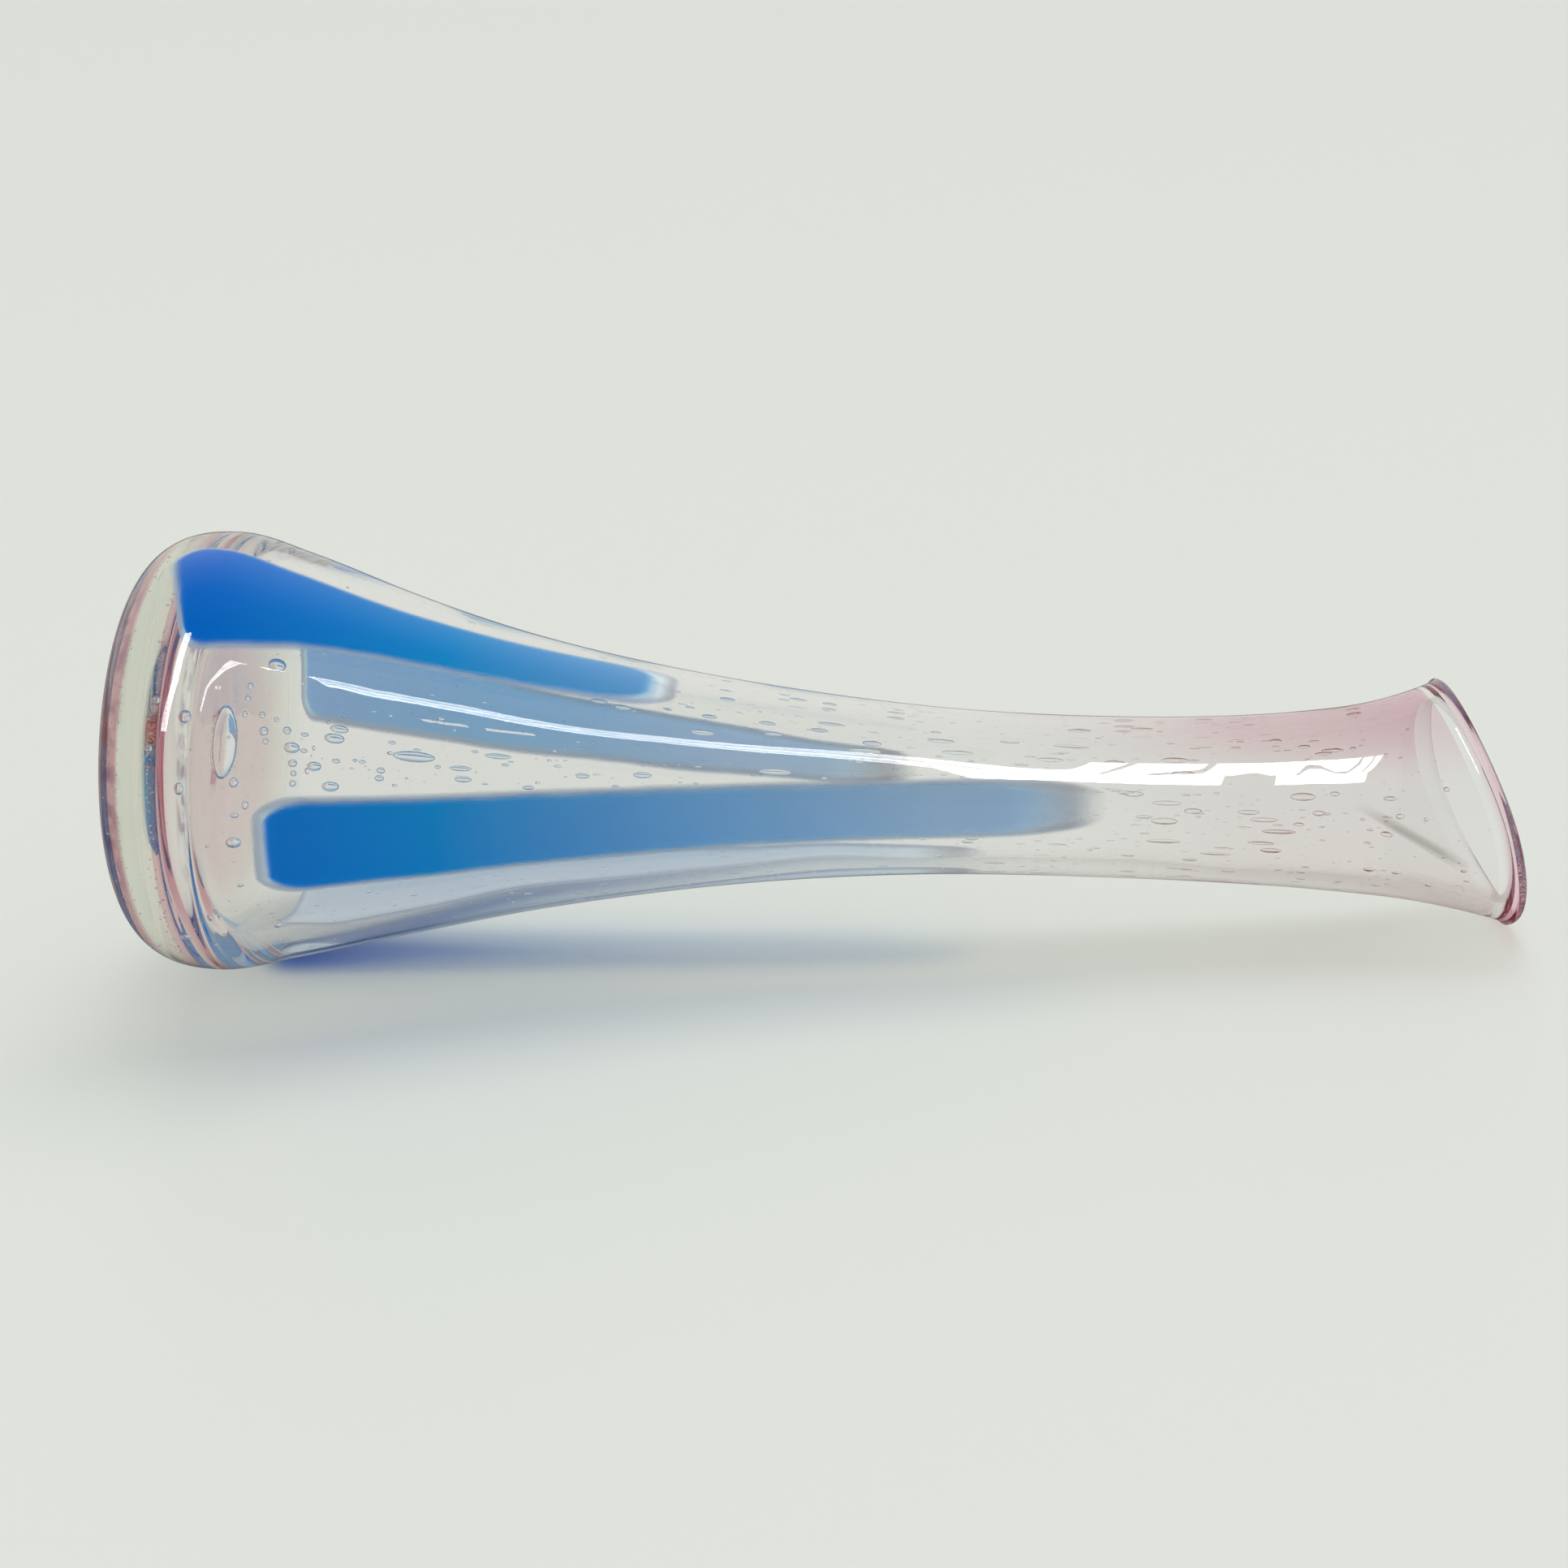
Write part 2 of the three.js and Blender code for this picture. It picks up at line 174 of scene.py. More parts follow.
# Glass: how it bends light, and the depth at which the clear and lip colours are what it lets through
GLASS_BEND = 1.5
TINT_DEPTH = 10 * MM
# What light passes on its way to a matt surface inside the glass, and the tints of the glasses' shadows
DIFFUSE_PASS = (0.98, 0.98, 0.975)
CLEAR_SHADOW = (0.85, 0.86, 0.84)
LINING_SHADOW = (0.995, 0.98, 0.985)
LIP_SHADOW = (1.0, 0.97, 0.98)
BLUE_SHADOW = (0.05, 0.56, 0.86)
OPAL_SHADOW = (0.7, 0.82, 0.95)

# The fire-polished skin's ripple: its fineness, how little it changes along the vase, and its depth
RIPPLE_SCALE = 60.0
RIPPLE_DRAW_SHARE = 0.25
RIPPLE_DETAIL = 1.0
RIPPLE_STRENGTH_SHARE = 0.01
RIPPLE_DEPTH = 2 * MM
# The foot's mottle: its noise, the noise values between which it begins, and the heights, radii and places
# along Y over which it comes in. Then the heights over which the corner's green comes in
MOTTLE_SCALE = 150.0
MOTTLE_DETAIL = 4.0
MOTTLE_NOISE_SHARES = (0.42, 0.6)
MOTTLE_HEIGHTS = (11 * MM, 7 * MM)
MOTTLE_RADII = (43 * MM, 49 * MM)
MOTTLE_SIDES = (-25 * MM, -38 * MM)
CORNER_HEIGHTS = (24 * MM, 17 * MM)
# The tools' step down over the shoulder: its heights and depth, and the line that lies in the middle of
# the wall there, as a radius that falls by the slope with the height
SHOULDER_STEP_HEIGHTS = (26 * MM, 60 * MM)
SHOULDER_STEP_DEPTH = 2.1 * MM
SHOULDER_WALL_SLOPE = 0.235
SHOULDER_WALL_MIDDLE = 60.4 * MM
# The crease near the mouth: where it starts along X and Z, its turn, the heights over which it comes and
# goes, how far in front of the axis it is full, its size, and the places and grey of the shade painted on
# its upper side
CREASE_START = (3 * MM, 321 * MM)
CREASE_TURN = math.radians(26.5)
CREASE_HEIGHTS = (316 * MM, 331 * MM, 339 * MM, 349 * MM)
CREASE_FRONT = -8 * MM
CREASE_DEPTH = 0.8 * MM
CREASE_STEEP_WIDTH = 2.4 * MM
CREASE_SLOW_WIDTH = 9 * MM
CREASE_SHADE_PLACES = (-3.12 * MM, -0.48 * MM, 0.24 * MM)
CREASE_PAINTED_SHADE = (0.62, 0.62, 0.6)

# Strength of the pink lining up the height, then from the +X to the -X side, and where up the height the
# sides begin to differ. Then a faint patch by the mouth's +X side
LINING_STRENGTH_SHARES = (
    (0.0, 1.0), (0.045, 0.8), (0.057, 0.2), (0.07, 0.05), (0.1, 0.01), (0.62, 0.02), (0.72, 0.1),
    (0.83, 0.34), (1.0, 0.38),
)
LINING_SIDES = (-4 * MM, -23 * MM)
LINING_SIDE_SHARES = (0.3, 1.6)
LINING_UNEVEN_SHARES = (0.3, 0.75)
PATCH_SIDES = (14 * MM, 26 * MM)
PATCH_HEIGHT_SHARES = (0.86, 0.98)
PATCH_SHARE = 0.3

# Where up the height the blue's three colours lie, how much of its light comes from behind, and its soft
# edge: width, noise fineness and noise reach
BLUE_HEIGHT_SHARES = (0.07, 0.25, 0.61)
BLUE_BEHIND_SHARE = 0.5
BLUE_ROUGHNESS = 0.5
BLUE_EDGE = (2.8 * MM, 90.0, 0.8 * MM)
EDGE_DETAIL = 2.0
# The beds' soft edge, where their border ends, and how much they cover at the border and inside. Then how
# much more they cover on the +X side, which lies low in the portrait, and where that side lies: painted
# light, which also makes that side pale, to lighten it where it faces the floor in shade. Then the heights
# over which they turn pale, and the tip shares over which they fade and change colour
OPAL_ROUGHNESS = 0.6
OPAL_EDGE = (1.7 * MM, 120.0, 0.4 * MM)
OPAL_BORDERS = (1.6 * MM, 4 * MM)
OPAL_COVER_SHARES = (0.66, 0.48)
OPAL_PAINTED_LIGHT_COVER_SHARE = 0.34
OPAL_PAINTED_LIGHT_SIDES = (5 * MM, 30 * MM)
OPAL_PALE_HEIGHTS = (80 * MM, 165 * MM)
OPAL_TIP_FADE_SHARE = 0.45
OPAL_TIP_COLOUR_SHARES = (0.3, 1.0)

# The camera's near and far limits, and its focal length in the portrait's pixels
CLIP_RANGE = (0.05, 50)
FOCAL_PIXELS = 4612.6
# The floor: its reach, the heights below and above which the belly and rim may touch it, and the leans in
# degrees that are tried
FLOOR_REACH = 12.0
TOUCH_HEIGHTS = (0.1, 0.3)
FLOOR_LEANS = (-2, 12, 561)
PAPER_ROUGHNESS = 0.42
PAPER_GLOSS = 0.25
# How bright the room is from the camera's side round to the far side, seen through glass and in gloss, and
# the floor's brightness in the vase's gloss
SEEN_ROOM_SHARES = ((0.0, 0.72), (0.25, 0.76), (0.45, 0.95), (0.5, 1.0), (1.0, 1.0))
GLOSS_ROOM_SHARES = ((0.0, 0.06), (0.3, 0.08), (0.5, 0.2), (0.65, 0.6), (0.8, 1.0), (1.0, 1.0))
GLOSS_FLOOR_SHARE = 0.2
# The soft lamp from above: its width and the way to it
SUN_WIDTH = math.radians(36)
SUN_PLACE = (-1.0, 0.3, 0.08)
# Lamp covers: their cells' evenness and fineness, where a cell's rim begins and how bright it is
CELL_RANDOMNESS = 0.1
CELL_COUNTS = (60.0, 1.0)
CELL_RIMS = (0.25, 0.6)
CELL_RIM_SHARE = 0.45
WARM_COLOUR = (1.0, 0.78, 0.5)
# Ceiling tubes over the vase as it lies in the portrait: the line that the row follows
TUBE_POINTS = ((-0.385, -0.345, 0.257), (-0.496, -0.826, 0.243), (-0.42, -1.25, 0.2405))
TUBE_SIDE = (0, 0, 1)
TUBE_COUNT = 3
TUBE_WIDTH = 0.01
TUBE_SPACINGS = (0.012, 0.012)
FAR_TUBE_WIDTH = 0.0105
FAR_TUBE_SPACINGS = (0.0098, 0.0102)
FAR_TUBE_SHORTENING = 0.06
# A bent lamp lower than the foot: degrees round from -Y to -X, then its two edges' heights
LAMP_DISTANCE = 1.0
LOW_LAMP_EDGES = ((60, -0.235, -0.165), (34, -0.295, -0.225), (8, -0.385, -0.315))
# Small warm lamps: first and last degrees round, then the lower and upper height
WARM_LAMP_EDGES = ((32.2, 34.0, 0.406, 0.425), (31.5, 33.4, 0.356, 0.394))
# How often light may turn inside glass, and pass clear layers
LIGHT_TURNS = 200
CLEAR_LAYERS = 64

# Fineness of the surfaces
TURN_STEPS = 144
HOLLOW_STEPS = 12
FOOT_STEPS = 4
CORNER_STEPS = 30
BODY_STEPS = 100
RIM_STEPS = 16
FLOOR_STEPS = 8
STRIP_ROWS = 120
STRIP_COLUMNS = 28
ON_AXIS = 1e-9


def length_prop(name, description, default):
    """A size in metres, from millimetres."""
    return FloatProperty(name=name, description=description, unit="LENGTH", default=default * MM)


def number_prop(name, description, default):
    return FloatProperty(name=name, description=description, default=default)


def colour_prop(name, description, default):
    return FloatVectorProperty(name=name, description=description, subtype="COLOR", size=3, default=default)


def way_prop(name, description, subtype, default):
    return FloatVectorProperty(name=name, description=description, subtype=subtype, size=3, default=default)


def count_prop(name, description, default):
    return IntProperty(name=name, description=description, default=default, min=0)


class VaseSizes(bpy.types.PropertyGroup):
    """Sizes of the glass, in metres."""

    belly_radius: FloatProperty(
        name="Belly radius", description="Radius of the widest ring", unit="LENGTH",
        default=(CASING_HIGH.x - CASING_LOW.x) / 2)
    belly_height: length_prop("Belly height", "Height of the widest ring", 26)
    foot_radius: length_prop("Foot radius", "Radius of the flat foot", 28.8)
    neck_radius: length_prop("Neck radius", "Radius of the narrowest ring", 20.8)
    neck_height: length_prop("Neck height", "Height of the narrowest ring", 250)
    mouth_radius: length_prop("Mouth radius", "Outer radius of the rim", 29)
    lean_side: length_prop("Rim lean to the side", "How far the rim rises towards +X", 10.85)
    lean_front: length_prop("Rim lean to the front", "How far the rim rises towards -Y", 5.43)
    mouth_oval: number_prop("Mouth oval", "How much wider the mouth is along X, as a share", 0.066)
    lean_start: number_prop("Lean start", "Share of the height where the rim's lean begins", 0.7)
    sway: length_prop("Sway", "How far the middle line bows towards +X", 2)
    belly_wall: length_prop("Belly wall", "Glass thickness at the belly", 6.8)
    neck_wall: length_prop("Neck wall", "Glass thickness at the neck", 4.4)
    mouth_wall: length_prop("Mouth wall", "Glass thickness at the rim", 3.8)
    floor_height: length_prop("Floor height", "Height of the floor inside", 16)
    floor_flat: length_prop("Floor flat", "Radius of the flat of the floor inside", 22)
    floor_corner: length_prop("Floor corner", "Height of the rounded corner inside", 20)
    hollow_radius: length_prop("Pontil radius", "Radius of the polished hollow in the foot", 10.5)
    hollow_depth: length_prop("Pontil depth", "Depth of the polished hollow in the foot", 1.4)
    lip_bead: length_prop("Lip bead", "How far the rim stands proud of the wall", 0.25)
    lip_height: length_prop("Lip height", "Height of the pink wrap round the rim", 5)
    wobble: length_prop("Bore wobble", "Unevenness of the wall's inner face", 0.14)


class StreakSizes(bpy.types.PropertyGroup):
    """Sizes of the blue streaks and their milky beds, in metres."""

    cover: length_prop("Clear cover", "Clear glass that the fire drew over the streaks", 0.6)
    blue_thickness: length_prop("Blue thickness", "Thickness of the blue at its start", 0.9)
    bed_thickness: length_prop("Bed thickness", "Thickness of the milky bed at its start", 0.7)
    layer_gap: length_prop("Layer gap", "Glass between the blue and its bed", 0.15)
    side_border: length_prop("Side border", "Width of the milky border at the sides", 1.2)
    start_border: length_prop("Start border", "Width of the milky border at the start", 2.8)
    tip_border: length_prop("Tip border", "Width of the milky border at the tip", 6)


class GlassColours(bpy.types.PropertyGroup):
    """Colours of the glasses, as scene-linear values."""

    clear: colour_prop("Clear glass", "What clear glass lets through in a centimetre", (0.99, 0.984, 0.98))
    pink: colour_prop(
        "Pink lining", "What the thickest of the thin pink lining lets through", (0.86, 0.62, 0.69))
    lip: colour_prop("Pink lip", "What the pink lip lets through in a centimetre", (0.98, 0.42, 0.58))
    blue_start: colour_prop("Blue at the start", "Colour of the thick end of a streak", (0.0, 0.265, 0.8))
    blue_middle: colour_prop(
        "Blue in the middle", "Colour of a streak where the swing began to draw it", (0.01, 0.45, 0.81))
    blue_tip: colour_prop("Blue at the tip", "Colour of the thin end of a streak", (0.57, 0.7, 0.82))
    opal: colour_prop("Opal", "Colour of the milky bed's border", (0.55, 0.63, 0.73))
    opal_tip: colour_prop("Opal tip", "Colour of the milky bed's tip", (0.5, 0.52, 0.58))
    opal_under: colour_prop(
        "Opal under blue", "Colour of the milky bed under the thick blue", (0.62, 0.93, 1.0))
    # Also used as painted light on the beds' +X side, which faces the portrait's floor in shade
    opal_under_pale: colour_prop(
        "Opal under thin blue", "Colour of the milky bed under the thin blue", (0.88, 0.97, 1.0))
    foot_mottle: colour_prop("Foot's mottle", "What the foot's darkest marks let through", (0.36, 0.26, 0.38))
    foot_corner: colour_prop(
        "Foot's corner", "What the foot's thick corner lets through", (0.92, 0.985, 0.91))
    paper: colour_prop("Floor", "Colour of the floor and the room", (0.73, 0.755, 0.705))


class BubbleCounts(bpy.types.PropertyGroup):
    """How many bubbles the glass holds."""

    large: count_prop("Large", "Bubbles over 3 mm long", 90)
    medium: count_prop("Medium", "Bubbles of 1 to 3 mm", 420)
    seeds: count_prop("Seeds", "Bubbles under 1 mm", 800)
    floor_seeds: count_prop("Floor seeds", "Tiny bubbles trapped under the lining's floor", 240)
    seed: count_prop("Random seed", "Start of the random places", 11)


class StudioSizes(bpy.types.PropertyGroup):
    """The portrait's camera, floor and light."""

    camera_place: way_prop(
        "Camera place", "Where the portrait's camera stands", "TRANSLATION", (0.002, -0.9695, 0.263))
    camera_aim: way_prop("Camera aim", "Direction the camera looks in", "DIRECTION", (0.0, 0.9956, -0.0935))
    camera_up: way_prop(
        "Camera up", "Direction of the picture's top", "DIRECTION", (-0.9989, -0.0044, -0.0464))
    focal_share: number_prop(
        "Focal share", "Focal length as a share of the sensor's width", FOCAL_PIXELS / PORTRAIT_PIXELS)
    floor_tilt: FloatProperty(
        name="Floor tilt", description="Angle between the camera's level and the portrait's floor",
        subtype="ANGLE", default=math.radians(17))
    sky: number_prop("Sky", "Strength of the even light", 0.68)
    sun: number_prop("Sun", "Strength of the soft lamp from above", 1.36)
    panel_light: number_prop("Panels", "Strength of the lamp panels", 22.0)


def smooth_through(stops, end_slope=0.0):
    """A smooth curve through (at, value) stops: a cubic between neighbours, whose slope at each stop is the
    mean of the slopes on both sides weighted by the other side's length. It starts level and ends at the
    end slope."""
    at, value = np.array(stops, float).T
    step = np.diff(at)
    secant = np.diff(value) / step
    slope = np.zeros_like(at)
    slope[1:-1] = (secant[:-1] * step[1:] + secant[1:] * step[:-1]) / (step[:-1] + step[1:])
    slope[-1] = end_slope

    def curve(where):
        where = np.clip(np.asarray(where, float), at[0], at[-1])
        i = np.clip(np.searchsorted(at, where, side="right") - 1, 0, len(step) - 1)
        t = (where - at[i]) / step[i]
        rise = t * t * (3 - 2 * t)
        leave = t * (1 - t) ** 2 * step[i]
        arrive = t * t * (t - 1) * step[i]
        return value[i] * (1 - rise) + value[i + 1] * rise + slope[i] * leave + slope[i + 1] * arrive

    return curve


shoulder_share = smooth_through(SHOULDER_SHARES)
flare_share = smooth_through(FLARE_SHARES, FLARE_END_SLOPE_SHARE)
sway_share = smooth_through(SWAY_SHARES, SWAY_END_SLOPE_SHARE)


def sizes():
    return bpy.context.scene.vase_sizes


def vase_height():
    """The rim's height on the axis: the top of the lip's box less the lean's reach."""
    s = sizes()
    return LIP_HIGH.z - math.hypot(s.lean_side, s.lean_front)


def outer_radius(z):
    """Radius of the outside at heights z: a superellipse from the foot to the belly, then the shoulder's
    curve down to the neck, then the flare's curve out to the mouth."""
    s = sizes()
    drop = np.clip(1 - z / s.belly_height, 0, 1)
    corner = s.foot_radius + (s.belly_radius - s.foot_radius) * (1 - drop ** FOOT_POWER) ** (1 / FOOT_POWER)
    up = (z - s.belly_height) / (s.neck_height - s.belly_height)
    shoulder = s.neck_radius + (s.belly_radius - s.neck_radius) * shoulder_share(up)
    out = (z - s.neck_height) / (vase_height() - s.neck_height)
    flare = s.neck_radius + (s.mouth_radius - s.neck_radius) * flare_share(out)
    return np.where(z < s.belly_height, corner, np.where(z < s.neck_height, shoulder, flare))


def wall_thickness(z):
    """Glass thickness at heights z: it falls with the radius from belly to neck, then evenly to the rim."""
    s = sizes()
    share = np.clip((outer_radius(z) - s.neck_radius) / (s.belly_radius - s.neck_radius), 0, 1)
    body = s.neck_wall + (s.belly_wall - s.neck_wall) * share
    up = np.clip((z - s.neck_height) / (vase_height() - s.neck_height), 0, 1)
    return np.where(z < s.neck_height, body, s.neck_wall + (s.mouth_wall - s.neck_wall) * up)


def bore_radius(z):
    """Radius of the room inside at heights z: the flat floor's edge, then a superellipse corner that
    reaches the wall's inner face."""
    s = sizes()
    high = np.maximum(z, s.belly_height)
    wall = outer_radius(high) - wall_thickness(high)
    drop = np.clip(1 - (z - s.floor_height) / s.floor_corner, 0, 1)
    share = (1 - drop ** FLOOR_POWER) ** (1 / FLOOR_POWER)
    return s.floor_flat + (wall - s.floor_flat) * share


def swing(radius, turn, z):
    """Points of the swung vase from radius, turn and height arrays of one shape. The middle line bows along
    X, the rim leans by a share that grows with the square of the height, and the mouth goes oval."""
    s = sizes()
    share = z / vase_height()
    pull = np.clip((share - s.lean_start) / (1 - s.lean_start), 0, 1) ** 2
    side, back = np.cos(turn), np.sin(turn)
    stretch = 1 + s.mouth_oval * pull * np.cos(2 * turn)
    x = radius * stretch * side + s.sway * sway_share(share)
    y = radius * stretch * back
    return np.stack([x, y, z + pull * (s.lean_side * side - s.lean_front * back)], axis=-1)


def skin_places(z, turn, depth):
    """Points sunk by depth below the outside, square to it: the profile's slope turns the depth into a
    part inwards and a part along the height."""
    reach = 0.2 * MM
    slope = (outer_radius(z + reach) - outer_radius(z - reach)) / (2 * reach)
    steep = np.hypot(1, slope)
    return swing(outer_radius(z) - depth / steep, turn, z + depth * slope / steep)


def corner_rise(steps, power):
    """Height shares up a superellipse corner, evenly spread along its curve, without the last one."""
    angle = np.linspace(0, math.pi / 2, steps, endpoint=False)
    return 1 - np.cos(angle) ** (2 / power)


def outer_profile():
    """Radius and height down the outside, from the middle of the polished hollow to the rim's start."""
    s = sizes()
    bowl = (s.hollow_radius ** 2 + s.hollow_depth ** 2) / (2 * s.hollow_depth)
    r = np.linspace(0, s.hollow_radius, HOLLOW_STEPS)
    hollow = np.stack([r, s.hollow_depth - bowl + np.sqrt(bowl ** 2 - r ** 2)])
    foot_r = np.linspace(s.hollow_radius, s.foot_radius, FOOT_STEPS + 1)[1:-1]
    foot = np.stack([foot_r, np.zeros_like(foot_r)])
    corner_z = s.belly_height * corner_rise(CORNER_STEPS, FOOT_POWER)
    top = vase_height() - (s.mouth_wall + 2 * s.lip_bead) / 2
    body_z = np.linspace(s.belly_height, top, BODY_STEPS)
    z = np.concatenate([corner_z, body_z])
    near_rim = np.clip((z - (vase_height() - s.lip_height)) / s.lip_height, 0, 1)
    body = np.stack([outer_radius(z) + s.lip_bead * near_rim, z])
    return np.concatenate([hollow, foot, body], axis=1)


def bore_profile(top):
    """Radius and height up the inside, from the middle of the floor to a height."""
    s = sizes()
    flat_r = np.linspace(0, s.floor_flat, FLOOR_STEPS, endpoint=False)
    flat = np.stack([flat_r, np.full_like(flat_r, s.floor_height)])
    corner_z = s.floor_height + s.floor_corner * corner_rise(CORNER_STEPS, FLOOR_POWER)
    body_z = np.linspace(s.floor_height + s.floor_corner, top, BODY_STEPS)
    z = np.concatenate([corner_z, body_z])
    near_rim = np.clip((z - (vase_height() - s.lip_height)) / s.lip_height, 0, 1)
    return np.concatenate([flat, np.stack([bore_radius(z) - s.lip_bead * near_rim, z])], axis=1)


def moved_out(profile, distance):
    """A profile moved square to itself, away from the room inside: along the curve's right-hand normal."""
    along = np.gradient(profile, axis=1)
    along /= np.hypot(*along)
    moved = profile + np.stack([along[1], -along[0]]) * distance
    moved[0, 0] = 0
    return moved


def rim_profile():
    """Radius and height over the rim: half a circle from the outside's end to the bore's end."""
    s = sizes()
    outside = s.mouth_radius + s.lip_bead
    inside = float(bore_radius(np.array(vase_height()))) - s.lip_bead
    middle, round_r = (outside + inside) / 2, (outside - inside) / 2
    angle = np.linspace(0, math.pi, RIM_STEPS + 2)[1:-1]
    return np.stack([middle + round_r * np.cos(angle), vase_height() - round_r + round_r * np.sin(angle)])


def wobbled(radius, turn, z, amount):
    """Radii with the slow unevenness of blown glass: five waves of turn and height, seeded."""
    rng = np.random.default_rng(WOBBLE_SEED)
    for waves_round in WOBBLE_WAVES:
        waves_up = rng.uniform(*WOBBLE_RISES) / vase_height()
        phase = rng.uniform(0, 2 * math.pi, 2)
        wave = np.cos(waves_round * turn + phase[0]) * np.cos(2 * math.pi * waves_up * z + phase[1])
        radius = radius + amount * wave / WOBBLE_SUM
    return radius


def grid_faces(rows, columns, closed_round):
    """Quads of a grid of rows by columns, as an array of four indices each. A closed grid also joins the
    last column to the first."""
    across = columns if closed_round else columns - 1
    row = np.arange(rows - 1)[:, None] * columns
    column = np.arange(across)[None, :]
    after = (column + 1) % columns
    corners = [row + column, row + after, row + columns + after, row + columns + column]
    return np.stack(corners, -1).reshape(-1, 4)


def turned_solid(profile, wobble=None):
    """Points and faces of a solid of revolution. A profile whose two ends lie on the axis closes there in
    two fans, and any other profile joins its last ring to its first."""
    turns = np.linspace(0, 2 * math.pi, TURN_STEPS, endpoint=False)
    poles = profile[0, 0] < ON_AXIS
    rings = profile[:, 1:-1] if poles else profile
    radius = np.repeat(rings[0][:, None], TURN_STEPS, 1)
    z = np.repeat(rings[1][:, None], TURN_STEPS, 1)
    turn = np.repeat(turns[None, :], radius.shape[0], 0)
    if wobble is not None:
        radius = wobbled(radius, turn, z, wobble[1:-1, None] if poles else wobble[:, None])
    places = swing(radius, turn, z).reshape(-1, 3)
    faces = grid_faces(radius.shape[0], TURN_STEPS, True)
    count = len(places)
    here = np.arange(TURN_STEPS)
    after = (here + 1) % TURN_STEPS
    if not poles:
        last = count - TURN_STEPS
        return places, np.concatenate([faces, np.stack([last + here, last + after, after, here], 1)])
    ends = swing(np.zeros(2), np.zeros(2), profile[1, [0, -1]])
    ends[:, 0] = sizes().sway * sway_share(profile[1, [0, -1]] / vase_height())
    first_fan = np.stack([np.full(TURN_STEPS, count), after, here, here], 1)
    top = count - TURN_STEPS
    last_fan = np.stack([np.full(TURN_STEPS, count + 1), top + here, top + after, top + after], 1)
    return np.concatenate([places, ends]), np.concatenate([faces, first_fan, last_fan])


def mesh_piece(name, places, faces, material, smooth=True):
    """A new piece from an array of points and an array of faces. A face whose last two corners are the same
    is a triangle."""
    three = faces[:, 2] == faces[:, 3]
    corners = np.concatenate([faces[~three].ravel(), faces[three][:, :3].ravel()]).astype(np.int32)
    lengths = np.concatenate([np.full((~three).sum(), 4), np.full(three.sum(), 3)])
    starts = np.concatenate([[0], np.cumsum(lengths)[:-1]]).astype(np.int32)
    mesh = bpy.data.meshes.new(name)
    mesh.vertices.add(len(places))
    mesh.vertices.foreach_set("co", places.astype(np.float32).ravel())
    mesh.loops.add(len(corners))
    mesh.loops.foreach_set("vertex_index", corners)
    mesh.polygons.add(len(starts))
    mesh.polygons.foreach_set("loop_start", starts)
    mesh.polygons.foreach_set("use_smooth", np.full(len(starts), smooth))
    mesh.update(calc_edges=True)
    mesh.validate()
    mesh.materials.append(material)
    piece = bpy.data.objects.new(name, mesh)
    bpy.context.scene.collection.objects.link(piece)
    return piece


def unit_ball(around, levels):
    """Points and faces of a ball of radius 1: rings of latitude between two poles."""
    turn = np.linspace(0, 2 * math.pi, around, endpoint=False)
    tilt = np.linspace(0, math.pi, levels + 2)[1:-1]
    rings = np.stack([
        np.sin(tilt)[:, None] * np.cos(turn)[None, :],
        np.sin(tilt)[:, None] * np.sin(turn)[None, :],
        np.repeat(np.cos(tilt)[:, None], around, 1)], -1).reshape(-1, 3)
    places = np.concatenate([rings, [[0, 0, 1], [0, 0, -1]]])
    here = np.arange(around)
    after = (here + 1) % around
    top, bottom = len(rings), len(rings) + 1
    low = len(rings) - around
    fans = np.concatenate([
        np.stack([np.full(around, top), after, here, here], 1),
        np.stack([np.full(around, bottom), low + here, low + after, low + after], 1)])
    return places, np.concatenate([grid_faces(levels, around, True), fans])


def hollows(z, turn, depth, half_axes, around, levels):
    """Points and faces of bubbles in the wall. half_axes are along the wall, round it and through it. The
    ball's faces are wound to point into each bubble, because that side is out of the glass."""
    ball, ball_faces = unit_ball(around, levels)
    reach = 0.5 * MM
    centre = skin_places(z, turn, depth)
    along = skin_places(z + reach, turn, depth) - skin_places(z - reach, turn, depth)
    along /= np.linalg.norm(along, axis=1, keepdims=True)
    through = centre - skin_places(z, turn, depth + reach)
    through /= np.linalg.norm(through, axis=1, keepdims=True)
    round_it = np.cross(through, along)
    axes = np.stack([round_it, through, along], 1) * half_axes[:, [1, 2, 0], None]
    places = centre[:, None, :] + np.einsum("bk,nkj->nbj", ball, axes)
    faces = ball_faces[None] + (np.arange(len(z)) * len(ball))[:, None, None]
    return places.reshape(-1, 3), faces.reshape(-1, 4)


def joined(parts):
    """One array of points and one of faces from several pairs."""
    starts = np.cumsum([0] + [len(places) for places, _ in parts[:-1]])
    faces = [faces + start for (_, faces), start in zip(parts, starts)]
    return np.concatenate([places for places, _ in parts]), np.concatenate(faces)


def swing_stretch(z):
    """How much longer than wide the swing drew a bubble at heights z: more as the body narrows, up to
    a limit, and back to nearly round at the mouth, which was opened by hand after the swing."""
    s = sizes()
    drawn = (s.belly_radius / outer_radius(z)) ** 2
    mouth = np.clip((vase_height() - z) / (MOUTH_OPENED_SHARE * vase_height()), MOUTH_STRETCH_SHARE, 1)
    return np.clip(1 + (drawn - 1) * mouth, 1, MOST_STRETCH)


